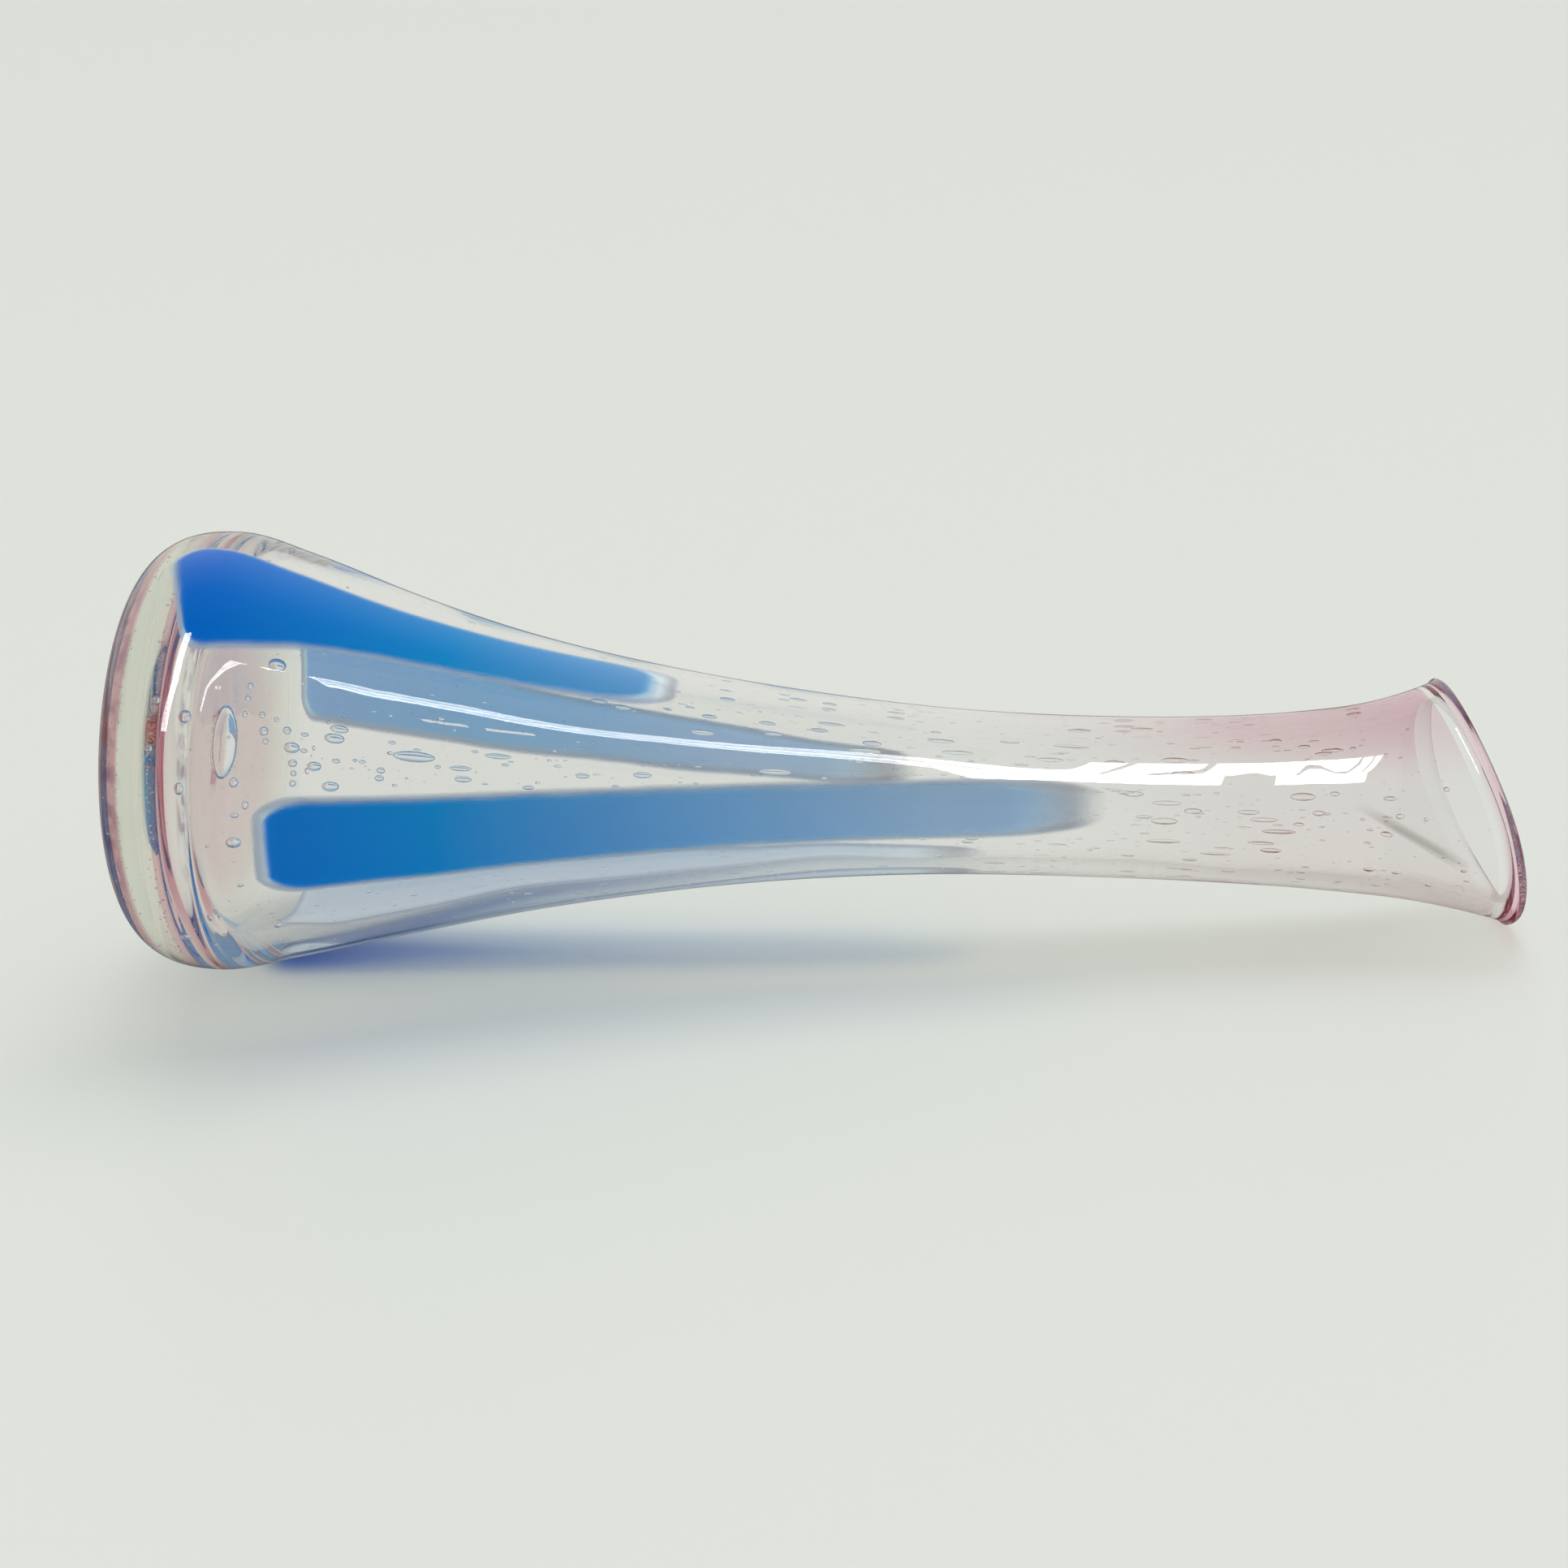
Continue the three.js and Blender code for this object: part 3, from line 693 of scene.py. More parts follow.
def scattered_bubbles():
    """All the bubbles of the wall and the base, seeded, family by family."""
    counts = bpy.context.scene.bubble_counts
    rng = np.random.default_rng(counts.seed)
    parts = []
    for family, (thin, thick, low, high, crowd, around, levels) in BUBBLE_FAMILIES.items():
        count = getattr(counts, family)
        z = low + (high - low) * rng.random(count) ** crowd
        turn = rng.uniform(-math.pi, math.pi, count)
        half = thin + (thick - thin) * rng.random(count) ** 2
        wall = wall_thickness(np.maximum(z, sizes().belly_height))
        half = np.minimum(half, wall * BUBBLE_WALL_SHARE)
        depth = wall * rng.uniform(*BUBBLE_DEPTH_SHARES, count)
        length = half * np.sqrt(swing_stretch(z)) * rng.uniform(*BUBBLE_LENGTH_SHARES, count)
        narrowing = swing_stretch(z) ** BUBBLE_NARROWING_POWER
        width = half * rng.uniform(*BUBBLE_WIDTH_SHARES, count) / narrowing
        through = half * BUBBLE_THROUGH_SHARE
        parts.append(hollows(z, turn, depth, np.stack([length, width, through], 1), around, levels))
    return parts


def floor_bubbles():
    """Tiny bubbles trapped between the floor and the base, spread evenly over a disc, seeded."""
    counts = bpy.context.scene.bubble_counts
    s = sizes()
    rng = np.random.default_rng(counts.seed + 1)
    count = counts.floor_seeds
    ball, ball_faces = unit_ball(*FLOOR_SEED_FACES)
    radius = FLOOR_SEED_REACH * np.sqrt(rng.random(count))
    turn = rng.uniform(-math.pi, math.pi, count)
    rise = np.clip((radius - s.floor_flat) / (FLOOR_SEED_REACH - s.floor_flat), 0, 1) ** 2
    z = s.floor_height - rng.uniform(*FLOOR_SEED_DEPTHS, count) * MM + rise * FLOOR_SEED_RISE
    size = rng.uniform(*FLOOR_SEED_SIZES, count) * MM
    centre = np.stack([radius * np.cos(turn), radius * np.sin(turn), z], 1)
    places = centre[:, None, :] + ball[None] * size[:, None, None]
    faces = ball_faces[None] + (np.arange(count) * len(ball))[:, None, None]
    return places.reshape(-1, 3), faces.reshape(-1, 4)


def on_skin(pixels):
    """Heights and turns at which the portrait's pixels meet the outside. Each pixel's ray is cut with the
    plane y = -depth, and the depth follows from the radius found there, a few times over."""
    studio = bpy.context.scene.studio_sizes
    right, up, forward = (np.array(axis) for axis in portrait_axes())
    offset = (pixels - PORTRAIT_PIXELS / 2) / (studio.focal_share * PORTRAIT_PIXELS)
    rays = forward + offset[:, :1] * right - offset[:, 1:] * up
    camera = np.array(studio.camera_place)
    depth = np.zeros(len(pixels))
    for _ in range(SKIN_TRIES):
        places = camera + rays * ((-depth - camera[1]) / rays[:, 1])[:, None]
        side = places[:, 0] - sizes().sway * sway_share(places[:, 2] / vase_height())
        depth = np.sqrt(np.maximum(outer_radius(places[:, 2]) ** 2 - side ** 2, 0))
    return places[:, 2], np.arctan2(-depth, side)


def noted_bubbles():
    """The plainly seen bubbles, at their places in the portrait."""
    table = np.array(NOTED_BUBBLES)
    z, turn = on_skin(table[:, :2])
    wall = wall_thickness(np.maximum(z, sizes().belly_height))
    half = table[:, 2:] / 2 * PIXEL_SIZE
    through = np.minimum(half.min(1) * NOTED_THROUGH_SHARES[0], wall * NOTED_THROUGH_SHARES[1])
    half_axes = np.column_stack([half, through])
    return hollows(z, turn, wall * NOTED_DEPTH_SHARE, half_axes, *NOTED_FACES)


def strip_solid(index, insets, top_depth, bottom_depth):
    """Points, faces, edge distances and tip shares of a closed strip that follows the skin between two
    depths. Its half width is the streak's spread, less the side inset, times a quarter ellipse at each end.
    A slant moves its start up on one side and down on the other, and fades with a power of the height.
    The edge distance is how far a point lies from the strip's outline, measured across and to both ends.
    The tip share falls from 1 to 0 over the length in which the streak fades out."""
    side, start_inset, tip_inset = insets
    height = vase_height()
    start, tip = (share * height for share in STREAK_HEIGHT_SHARES[index])
    low, high = start + start_inset, tip - tip_inset
    ease = np.linspace(0, math.pi, STRIP_ROWS)
    z = low + (high - low) * (1 - np.cos(ease)) / 2
    share = np.clip((z - start) / (tip - start), 0, 1)
    turns = STREAK_TURNS[index]
    middle = np.radians(turns[0] + (turns[1] - turns[0]) * share ** STREAK_TWIST_GROWTHS[index])
    start_end = quarter_ellipse((z - low) / STREAK_START_ROUNDS[index], STREAK_START_BLUNT_SHARE)
    tip_end = quarter_ellipse((high - z) / STREAK_TIP_ROUNDS[index], STREAK_TIP_BLUNT_SHARE)
    full = np.radians(smooth_through(tuple(zip((0, STREAK_MIDDLE_SHARE, 1), STREAK_SPREADS[index])))(share))
    half = (full - side / outer_radius(z)) * start_end * tip_end
    across = np.linspace(-1, 1, STRIP_COLUMNS)
    turn = middle[:, None] + half[:, None] * across[None, :]
    slant = STREAK_START_SLANTS[index] * (1 - share) ** STREAK_SLANT_FADE
    zz = z[:, None] + slant[:, None] * across[None, :]
    thin = (1 + (STREAK_TIP_THICKNESS_SHARE - 1) * share)[:, None]
    top = skin_places(zz, turn, np.full_like(zz, top_depth))
    bottom = skin_places(zz, turn, top_depth + (bottom_depth - top_depth) * thin + 0 * zz)
    places = np.concatenate([top.reshape(-1, 3), bottom.reshape(-1, 3)])
    sideways = (1 - np.abs(across))[None, :] * (half * outer_radius(z))[:, None]
    from_ends = np.minimum(z - low, high - z)[:, None] + 0 * zz
    edge = np.minimum(sideways, from_ends).ravel()
    faces = closed_sheet_faces(STRIP_ROWS, STRIP_COLUMNS)
    to_tip = np.clip((high - z) / STREAK_TIP_FADES[index], 0, 1)
    return places, faces, np.tile(edge, 2), np.tile(np.repeat(to_tip, STRIP_COLUMNS), 2)


def quarter_ellipse(share, blunt):
    """From a blunt width at share 0 to 1 at share 1, along a quarter of an ellipse."""
    share = np.clip(share, 0, 1)
    return blunt + (1 - blunt) * np.sqrt(1 - (1 - share) ** 2)


def closed_sheet_faces(rows, columns):
    """Faces of two grids of one size, the first on the outside, sewn together along all four sides."""
    layer = rows * columns
    top = grid_faces(rows, columns, False)
    rim = np.concatenate([
        np.arange(columns), np.arange(1, rows) * columns + columns - 1,
        (rows - 1) * columns + np.arange(columns - 2, -1, -1), np.arange(rows - 2, 0, -1) * columns])
    after = np.roll(rim, -1)
    wall = np.stack([rim, rim + layer, after + layer, after], 1)
    return np.concatenate([top, top[:, ::-1] + layer, wall])


def outwards(places, faces):
    """The faces, reversed if the solid they close has a negative volume."""
    a, b, c, d = (places[faces[:, i]] for i in range(4))
    volume = (np.einsum("ij,ij->i", a, np.cross(b, c)) + np.einsum("ij,ij->i", a, np.cross(c, d))).sum()
    return faces if volume > 0 else flipped(faces)


def flipped(faces):
    """The faces wound the other way round. A triangle keeps its doubled corner last."""
    three = faces[:, 2] == faces[:, 3]
    turned = faces[:, ::-1].copy()
    turned[three] = faces[three][:, [0, 2, 1, 1]]
    return turned


def put_attribute(piece, name, values):
    attribute = piece.data.attributes.new(name, "FLOAT", "POINT")
    attribute.data.foreach_set("value", values.astype(np.float32))


# Building blocks of the materials

def new_material(name):
    """A material with an empty tree. Returns it, its tree and its output."""
    material = bpy.data.materials.new(name)
    material.use_nodes = True
    tree = material.node_tree
    tree.nodes.clear()
    return material, tree, add_node(tree, "ShaderNodeOutputMaterial")


def add_node(tree, kind, **values):
    """A node with its settings, and with its inputs set by name where the node has one of that name."""
    node = tree.nodes.new(kind)
    for key, value in values.items():
        if hasattr(node, key):
            setattr(node, key, value)
        else:
            node.inputs[key].default_value = value
    return node


def rgba(colour):
    return (*colour, 1.0)


def link(tree, source, socket):
    """Gives an input a socket's value, or a plain number or colour."""
    if isinstance(source, bpy.types.NodeSocket):
        tree.links.new(source, socket)
    else:
        socket.default_value = rgba(source) if socket.type == "RGBA" else source


def math_node(tree, operation, *values):
    """A calculation on values, each a socket or a number. Returns its output."""
    node = add_node(tree, "ShaderNodeMath", operation=operation)
    for socket, value in zip(node.inputs, values):
        link(tree, value, socket)
    return node.outputs[0]


def product(tree, first, *others):
    """All the values multiplied, each a socket or a number."""
    for other in others:
        first = math_node(tree, "MULTIPLY", first, other)
    return first


def range_node(tree, value, start, end, low=0.0, high=1.0, smooth=True):
    """A map of a value from one range to another, held at both ends. Returns its output."""
    node = add_node(tree, "ShaderNodeMapRange", interpolation_type="SMOOTHSTEP" if smooth else "LINEAR")
    names = ("Value", "From Min", "From Max", "To Min", "To Max")
    for name, given in zip(names, (value, start, end, low, high)):
        link(tree, given, node.inputs[name])
    return node.outputs["Result"]


def mixed_colour(tree, factor, first, second):
    """A colour between two, each a socket or three numbers. Returns the mix's output."""
    node = add_node(tree, "ShaderNodeMix", data_type="RGBA")
    tree.links.new(factor, node.inputs["Factor"])
    for socket, value in zip([s for s in node.inputs if s.type == "RGBA"], (first, second)):
        link(tree, value, socket)
    return next(s for s in node.outputs if s.type == "RGBA")


def mixed_shader(tree, factor, first, second):
    """A shader between two, given by their outputs. Returns the mix's output."""
    node = add_node(tree, "ShaderNodeMixShader")
    for socket, value in zip(node.inputs, (factor, first, second)):
        link(tree, value, socket)
    return node.outputs[0]


def ramp_node(tree, value, stops):
    """A colour ramp through stops of place and colour. Returns its output."""
    node = add_node(tree, "ShaderNodeValToRGB")
    elements = node.color_ramp.elements
    while len(elements) < len(stops):
        elements.new(0.5)
    for element, (at, colour) in zip(elements, stops):
        element.position = at
        element.color = rgba(colour)
    tree.links.new(value, node.inputs["Fac"])
    return node.outputs["Color"]


def object_place(tree):
    return add_node(tree, "ShaderNodeTexCoord").outputs["Object"]


def split_xyz(tree, vector):
    """X, Y and Z of a vector, as outputs."""
    split = add_node(tree, "ShaderNodeSeparateXYZ")
    tree.links.new(vector, split.inputs[0])
    return split.outputs


def attribute_node(tree, name):
    return add_node(tree, "ShaderNodeAttribute", attribute_name=name).outputs["Fac"]


def transparent(tree, colour=WHITE):
    return add_node(tree, "ShaderNodeBsdfTransparent", Color=rgba(colour)).outputs[0]


def clear_shader(tree, bend):
    """Perfectly polished glass that bends light by its index."""
    glass = add_node(tree, "ShaderNodeBsdfPrincipled", Roughness=0.0, IOR=bend)
    glass.inputs["Transmission Weight"].default_value = 1.0
    return glass


def matt_shader(tree, roughness, gloss=0.0):
    glass = add_node(tree, "ShaderNodeBsdfPrincipled", Roughness=roughness)
    glass.inputs["Specular IOR Level"].default_value = gloss
    return glass


def pass_light(tree, shader, tint, diffuse_too=True):
    """Mixes a shader with a tinted transparent one for shadow rays, and with a nearly clear one for diffuse
    rays if wanted, so that lamps reach what lies inside and behind the glass. Returns the mix's output."""
    path = add_node(tree, "ShaderNodeLightPath")
    if diffuse_too:
        shader = mixed_shader(tree, path.outputs["Is Diffuse Ray"], shader, transparent(tree, DIFFUSE_PASS))
    return mixed_shader(tree, path.outputs["Is Shadow Ray"], shader, transparent(tree, tint))


def absorb(tree, output, colour, distance):
    """Gives a material a plain absorption that lets through colour over a distance."""
    darkest = min(colour)
    volume = add_node(tree, "ShaderNodeVolumeAbsorption")
    volume.inputs["Color"].default_value = rgba(1 - math.log(c) / math.log(darkest) for c in colour)
    volume.inputs["Density"].default_value = -math.log(darkest) / distance
    tree.links.new(volume.outputs[0], output.inputs["Volume"])


def placed_group(tree, name, inputs, outputs, build, values=()):
    """A node of a node group whose sockets are given as name and kind, and whose inside is built once."""
    inside = bpy.data.node_groups.get(name)
    if inside is None:
        inside = bpy.data.node_groups.new(name, "ShaderNodeTree")
        for in_out, sockets in (("INPUT", inputs), ("OUTPUT", outputs)):
            for socket, kind in sockets:
                inside.interface.new_socket(socket, in_out=in_out, socket_type=f"NodeSocket{kind}")
        build(inside, inside.nodes.new("NodeGroupInput").outputs, inside.nodes.new("NodeGroupOutput").inputs)
    node = add_node(tree, "ShaderNodeGroup", node_tree=inside)
    for (socket, _), value in zip(inputs, values):
        link(tree, value, node.inputs[socket])
    return node.outputs


# Materials

def build_ripple(tree, entry, leave):
    """The slow ripple of fire-polished glass, as a height for a bump: noise on the object's own place, drawn
    out along the vase."""
    x, y, z = split_xyz(tree, object_place(tree))
    merge = add_node(tree, "ShaderNodeCombineXYZ")
    for socket, value in zip(merge.inputs, (x, y, product(tree, z, entry["Draw"]))):
        tree.links.new(value, socket)
    noise = add_node(tree, "ShaderNodeTexNoise", Detail=RIPPLE_DETAIL)
    tree.links.new(merge.outputs[0], noise.inputs["Vector"])
    tree.links.new(entry["Scale"], noise.inputs["Scale"])
    tree.links.new(noise.outputs["Fac"], leave["Height"])


def axis_distance(tree, x, y):
    return math_node(tree, "SQRT", math_node(tree, "ADD", product(tree, x, x), product(tree, y, y)))


def build_foot_tint(tree, entry, leave):
    """What the foot's skin lets through. The foot's ring is darker in mottled patches on its -Y side, low
    down and near its rim, and the corner above it, where the glass is thickest, is tinted faintly green."""
    place = object_place(tree)
    x, y, z = split_xyz(tree, place)
    noise = add_node(tree, "ShaderNodeTexNoise", Scale=MOTTLE_SCALE, Detail=MOTTLE_DETAIL)
    tree.links.new(place, noise.inputs["Vector"])
    patches = range_node(tree, noise.outputs["Fac"], *MOTTLE_NOISE_SHARES)
    low = range_node(tree, z, *MOTTLE_HEIGHTS, smooth=False)
    ring = range_node(tree, axis_distance(tree, x, y), *MOTTLE_RADII)
    front = range_node(tree, y, *MOTTLE_SIDES)
    green = mixed_colour(tree, range_node(tree, z, *CORNER_HEIGHTS), WHITE, entry["Corner"])
    mottled = product(tree, patches, low, ring, front)
    tree.links.new(mixed_colour(tree, mottled, green, entry["Mottle"]), leave["Tint"])


def build_marks_and_painted_shade(tree, _, leave):
    """Heights that the tools left in the skin, and a mask of painted shade. Shoulder is a step down over the
    shoulder, the same way on the outside and in the bore. Crease is a fold near the mouth, steep on its upper
    side, and Shade is 1 along that side, where grey is painted into the glass's colour as the fold's shade."""
    x, y, z = split_xyz(tree, object_place(tree))
    wall = math_node(tree, "MULTIPLY_ADD", z, SHOULDER_WALL_SLOPE, axis_distance(tree, x, y))
    outside = math_node(tree, "GREATER_THAN", wall, SHOULDER_WALL_MIDDLE)
    sign = range_node(tree, outside, 0.0, 1.0, -1.0, 1.0, smooth=False)
    step = range_node(tree, z, *SHOULDER_STEP_HEIGHTS, 1.0, 0.0)
    tree.links.new(product(tree, sign, step), leave["Shoulder"])
    across = product(tree, math_node(tree, "SUBTRACT", x, CREASE_START[0]), math.cos(CREASE_TURN))
    down = product(tree, math_node(tree, "SUBTRACT", z, CREASE_START[1]), math.sin(CREASE_TURN))
    distance = math_node(tree, "SUBTRACT", across, down)
    steep = range_node(tree, distance, -CREASE_STEEP_WIDTH, 0.0)
    slow = range_node(tree, distance, 0.0, CREASE_SLOW_WIDTH, 1.0, 0.0)
    near = range_node(tree, y, 0.0, CREASE_FRONT)
    begun = range_node(tree, z, *CREASE_HEIGHTS[:2])
    there = product(tree, near, begun, range_node(tree, z, *CREASE_HEIGHTS[2:], 1.0, 0.0))
    tree.links.new(product(tree, steep, slow, there), leave["Crease"])
    upper = range_node(tree, distance, *CREASE_SHADE_PLACES[:2])
    lower = range_node(tree, distance, *CREASE_SHADE_PLACES[1:], 1.0, 0.0)
    tree.links.new(product(tree, upper, lower, there), leave["Shade"])


def clear_glass():
    """Clear glass with a faint warm tint by depth, a slow ripple in its skin and the tools' marks, and with a
    grey shade painted into its colour along the crease near the mouth.
    """
    colours = bpy.context.scene.glass_colours
    material, tree, output = new_material("clear_glass")
    glass = clear_shader(tree, GLASS_BEND)
    ripple = placed_group(
        tree, "FirePolishRipple", (("Scale", "Float"), ("Draw", "Float")), (("Height", "Float"),),
        build_ripple, (RIPPLE_SCALE, RIPPLE_DRAW_SHARE))
    marks = placed_group(
        tree, "ToolMarksAndPaintedShade", (), (("Shoulder", "Float"), ("Crease", "Float"), ("Shade", "Float")),
        build_marks_and_painted_shade)
    foot = placed_group(
        tree, "FootTint", (("Mottle", "Color"), ("Corner", "Color")), (("Tint", "Color"),), build_foot_tint,
        (colours.foot_mottle, colours.foot_corner))
    normal = None
    for height, strength, depth in (
            (ripple["Height"], RIPPLE_STRENGTH_SHARE, RIPPLE_DEPTH),
            (marks["Shoulder"], 1.0, SHOULDER_STEP_DEPTH), (marks["Crease"], 1.0, CREASE_DEPTH)):
        bump = add_node(tree, "ShaderNodeBump", Strength=strength, Distance=depth)
        tree.links.new(height, bump.inputs["Height"])
        if normal is not None:
            tree.links.new(normal, bump.inputs["Normal"])
        normal = bump.outputs["Normal"]
    tree.links.new(normal, glass.inputs["Normal"])
    # Painted shade: grey mixed into the glass's colour along the crease's upper side
    tree.links.new(mixed_colour(tree, marks["Shade"], foot["Tint"], CREASE_PAINTED_SHADE), glass.inputs["Base Color"])
    tree.links.new(pass_light(tree, glass.outputs[0], CLEAR_SHADOW), output.inputs["Surface"])
    absorb(tree, output, colours.clear, TINT_DEPTH)
    return material


def pink_lining_glass():
    """Thin pink film that bends nothing, because clear glass lies all round it. It tints what passes: most
    on the floor, least on the body, and more again towards the mouth's -X side. A faint patch lies
    opposite."""
    colours = bpy.context.scene.glass_colours
    material, tree, output = new_material("pink_lining_glass")
    glass = clear_shader(tree, 1.0)
    height = vase_height()
    x, _, z = split_xyz(tree, object_place(tree))
    stops = [(at, (share,) * 3) for at, share in LINING_STRENGTH_SHARES]
    strength = ramp_node(tree, range_node(tree, z, 0.0, height, smooth=False), stops)
    patch = product(
        tree, range_node(tree, x, *PATCH_SIDES, 0.0, PATCH_SHARE),
        range_node(tree, z, *(share * height for share in PATCH_HEIGHT_SHARES)))
    side = math_node(tree, "ADD", range_node(tree, x, *LINING_SIDES, *LINING_SIDE_SHARES), patch)
    uneven = range_node(tree, z, *(share * height for share in LINING_UNEVEN_SHARES), 1.0, side)
    tint = mixed_colour(tree, product(tree, strength, uneven), WHITE, colours.pink)
    tree.links.new(tint, glass.inputs["Base Color"])
    tree.links.new(pass_light(tree, glass.outputs[0], LINING_SHADOW), output.inputs["Surface"])
    return material


def pink_lip_glass():
    """Pink glass inside the rim. It bends nothing, because clear glass lies all round it, and it colours
    light by depth."""
    material, tree, output = new_material("pink_lip_glass")
    glass = clear_shader(tree, 1.0)
    glass.inputs["Base Color"].default_value = rgba(WHITE)
    tree.links.new(pass_light(tree, glass.outputs[0], LIP_SHADOW), output.inputs["Surface"])
    absorb(tree, output, bpy.context.scene.glass_colours.lip, TINT_DEPTH)
    return material


def soft_edge(tree, width, noise_scale, noise_reach):
    """Alpha of a streak: a smooth step over the first width of its edge distance, with a little noise."""
    noise = add_node(tree, "ShaderNodeTexNoise", Scale=noise_scale, Detail=EDGE_DETAIL)
    tree.links.new(object_place(tree), noise.inputs["Vector"])
    shift = math_node(tree, "MULTIPLY_ADD", noise.outputs["Fac"], noise_reach, attribute_node(tree, "edge"))
    return range_node(tree, shift, noise_reach / 2, width + noise_reach / 2)


def blue_streak_glass():
    """Blue glass, deep where it is thick and slate where the swing drew it thin, with soft edges. Part of
    its light comes through it from behind, and it throws a blue shadow."""
    colours = bpy.context.scene.glass_colours
    material, tree, output = new_material("blue_streak_glass")
    _, _, z = split_xyz(tree, object_place(tree))
    stops = tuple(zip(BLUE_HEIGHT_SHARES, (colours.blue_start, colours.blue_middle, colours.blue_tip)))
    blue = ramp_node(tree, range_node(tree, z, 0.0, vase_height(), smooth=False), stops)
    glass = matt_shader(tree, BLUE_ROUGHNESS)
    glow = add_node(tree, "ShaderNodeBsdfTranslucent")
    tree.links.new(blue, glass.inputs["Base Color"])
    tree.links.new(blue, glow.inputs["Color"])
    lit = mixed_shader(tree, BLUE_BEHIND_SHARE, glass.outputs[0], glow.outputs[0])
    fade = range_node(tree, attribute_node(tree, "tip"), 0.0, 1.0)
    shape = product(tree, soft_edge(tree, *BLUE_EDGE), fade)
    shaped = mixed_shader(tree, shape, transparent(tree), lit)
    tree.links.new(pass_light(tree, shaped, BLUE_SHADOW, diffuse_too=False), output.inputs["Surface"])
    return material


def opal_bed_glass():
    """Milky glass with soft edges: plain at the border, and thin under the blue, which shows through it. It
    is bluer inside and less so up the vase. On the +X side it is paler and covers more, as painted light that
    lightens that side where it faces the portrait's floor in shade."""
    colours = bpy.context.scene.glass_colours
    material, tree, output = new_material("opal_bed_glass")
    glass = matt_shader(tree, OPAL_ROUGHNESS)
    tip = attribute_node(tree, "tip")
    x, _, z = split_xyz(tree, object_place(tree))
    inside = range_node(tree, attribute_node(tree, "edge"), *OPAL_BORDERS)
    # Painted light: the +X side, which faces the portrait's floor in shade, is made paler and more covering
    painted_light_side = range_node(tree, x, *OPAL_PAINTED_LIGHT_SIDES)
    cover = range_node(tree, inside, 0.0, 1.0, *OPAL_COVER_SHARES)
    cover = math_node(tree, "MULTIPLY_ADD", painted_light_side, OPAL_PAINTED_LIGHT_COVER_SHARE, cover)
    fade = range_node(tree, tip, 0.0, OPAL_TIP_FADE_SHARE)
    tree.links.new(product(tree, fade, soft_edge(tree, *OPAL_EDGE), cover), glass.inputs["Alpha"])
    pale = math_node(tree, "MAXIMUM", range_node(tree, z, *OPAL_PALE_HEIGHTS), painted_light_side)
    under = mixed_colour(tree, pale, colours.opal_under, colours.opal_under_pale)
    bed = mixed_colour(tree, inside, colours.opal, under)
    body = range_node(tree, tip, *OPAL_TIP_COLOUR_SHARES)
    tree.links.new(mixed_colour(tree, body, colours.opal_tip, bed), glass.inputs["Base Color"])
    shown = pass_light(tree, glass.outputs[0], OPAL_SHADOW, diffuse_too=False)
    tree.links.new(shown, output.inputs["Surface"])
    return material


# Pieces

def settle(piece, node):
    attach(piece, BODY)
    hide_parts(node)
    return piece


def strip_pieces(kind, material, insets, top_depth, bottom_depth):
    """Makes one kind of strip for every streak, with the attributes that its material reads."""
    for i, inset in enumerate(insets):
        places, faces, edge, tip = strip_solid(i, inset, top_depth, bottom_depth)
        piece = mesh_piece(f"{kind}_{i + 1}_glass", places, outwards(places, faces), material)
        put_attribute(piece, "edge", edge)
        put_attribute(piece, "tip", tip)
        settle(piece, f"{kind}_{i + 1}")


class VASE_OT_casing(bpy.types.Operator):
    """Makes the clear casing: one closed skin over the foot, body, rim and bore, with bubbles in its wall"""

    bl_idname = "vase.casing"
    bl_label = "Casing"

    def execute(self, context):
        outside = outer_profile()
        rim = rim_profile()
        inside = bore_profile(rim[1, -1])[:, ::-1]
        profile = np.concatenate([outside, rim, inside], axis=1)
        wobble = np.zeros(profile.shape[1])
        first = outside.shape[1] + rim.shape[1]
        low, high = WOBBLE_FLOOR_HEIGHTS
        fade_top = np.clip((vase_height() - profile[1]) / WOBBLE_RIM_FADE, 0, 1)
        fade_floor = np.clip((profile[1] - low) / (high - low), 0, 1)
        wobble[first:] = (sizes().wobble * fade_top * fade_floor)[first:]
        places, faces = turned_solid(profile, wobble)
        body = (places, outwards(places, faces))
        bubbles = [*scattered_bubbles(), floor_bubbles(), noted_bubbles()]
        bubbles = [(p, flipped(outwards(p, f))) for p, f in bubbles]
        places, faces = joined([body, *bubbles])
        piece = mesh_piece("casing_glass", places, faces, clear_glass())
        settle(piece, "casing")
        return {"FINISHED"}


class VASE_OT_lining(bpy.types.Operator):
    """Makes the pink lining, a thin closed cup just inside the bore's face"""

    bl_idname = "vase.lining"
    bl_label = "Lining"

    def execute(self, context):
        bore = bore_profile(vase_height() - sizes().lip_height - LINING_TOP_GAP)
        inner, outer = (moved_out(bore, depth) for depth in LINING_DEPTHS)
        places, faces = turned_solid(np.concatenate([outer, inner[:, ::-1]], axis=1))
        piece = mesh_piece("lining_glass", places, outwards(places, faces), pink_lining_glass())
        settle(piece, "lining")
        return {"FINISHED"}


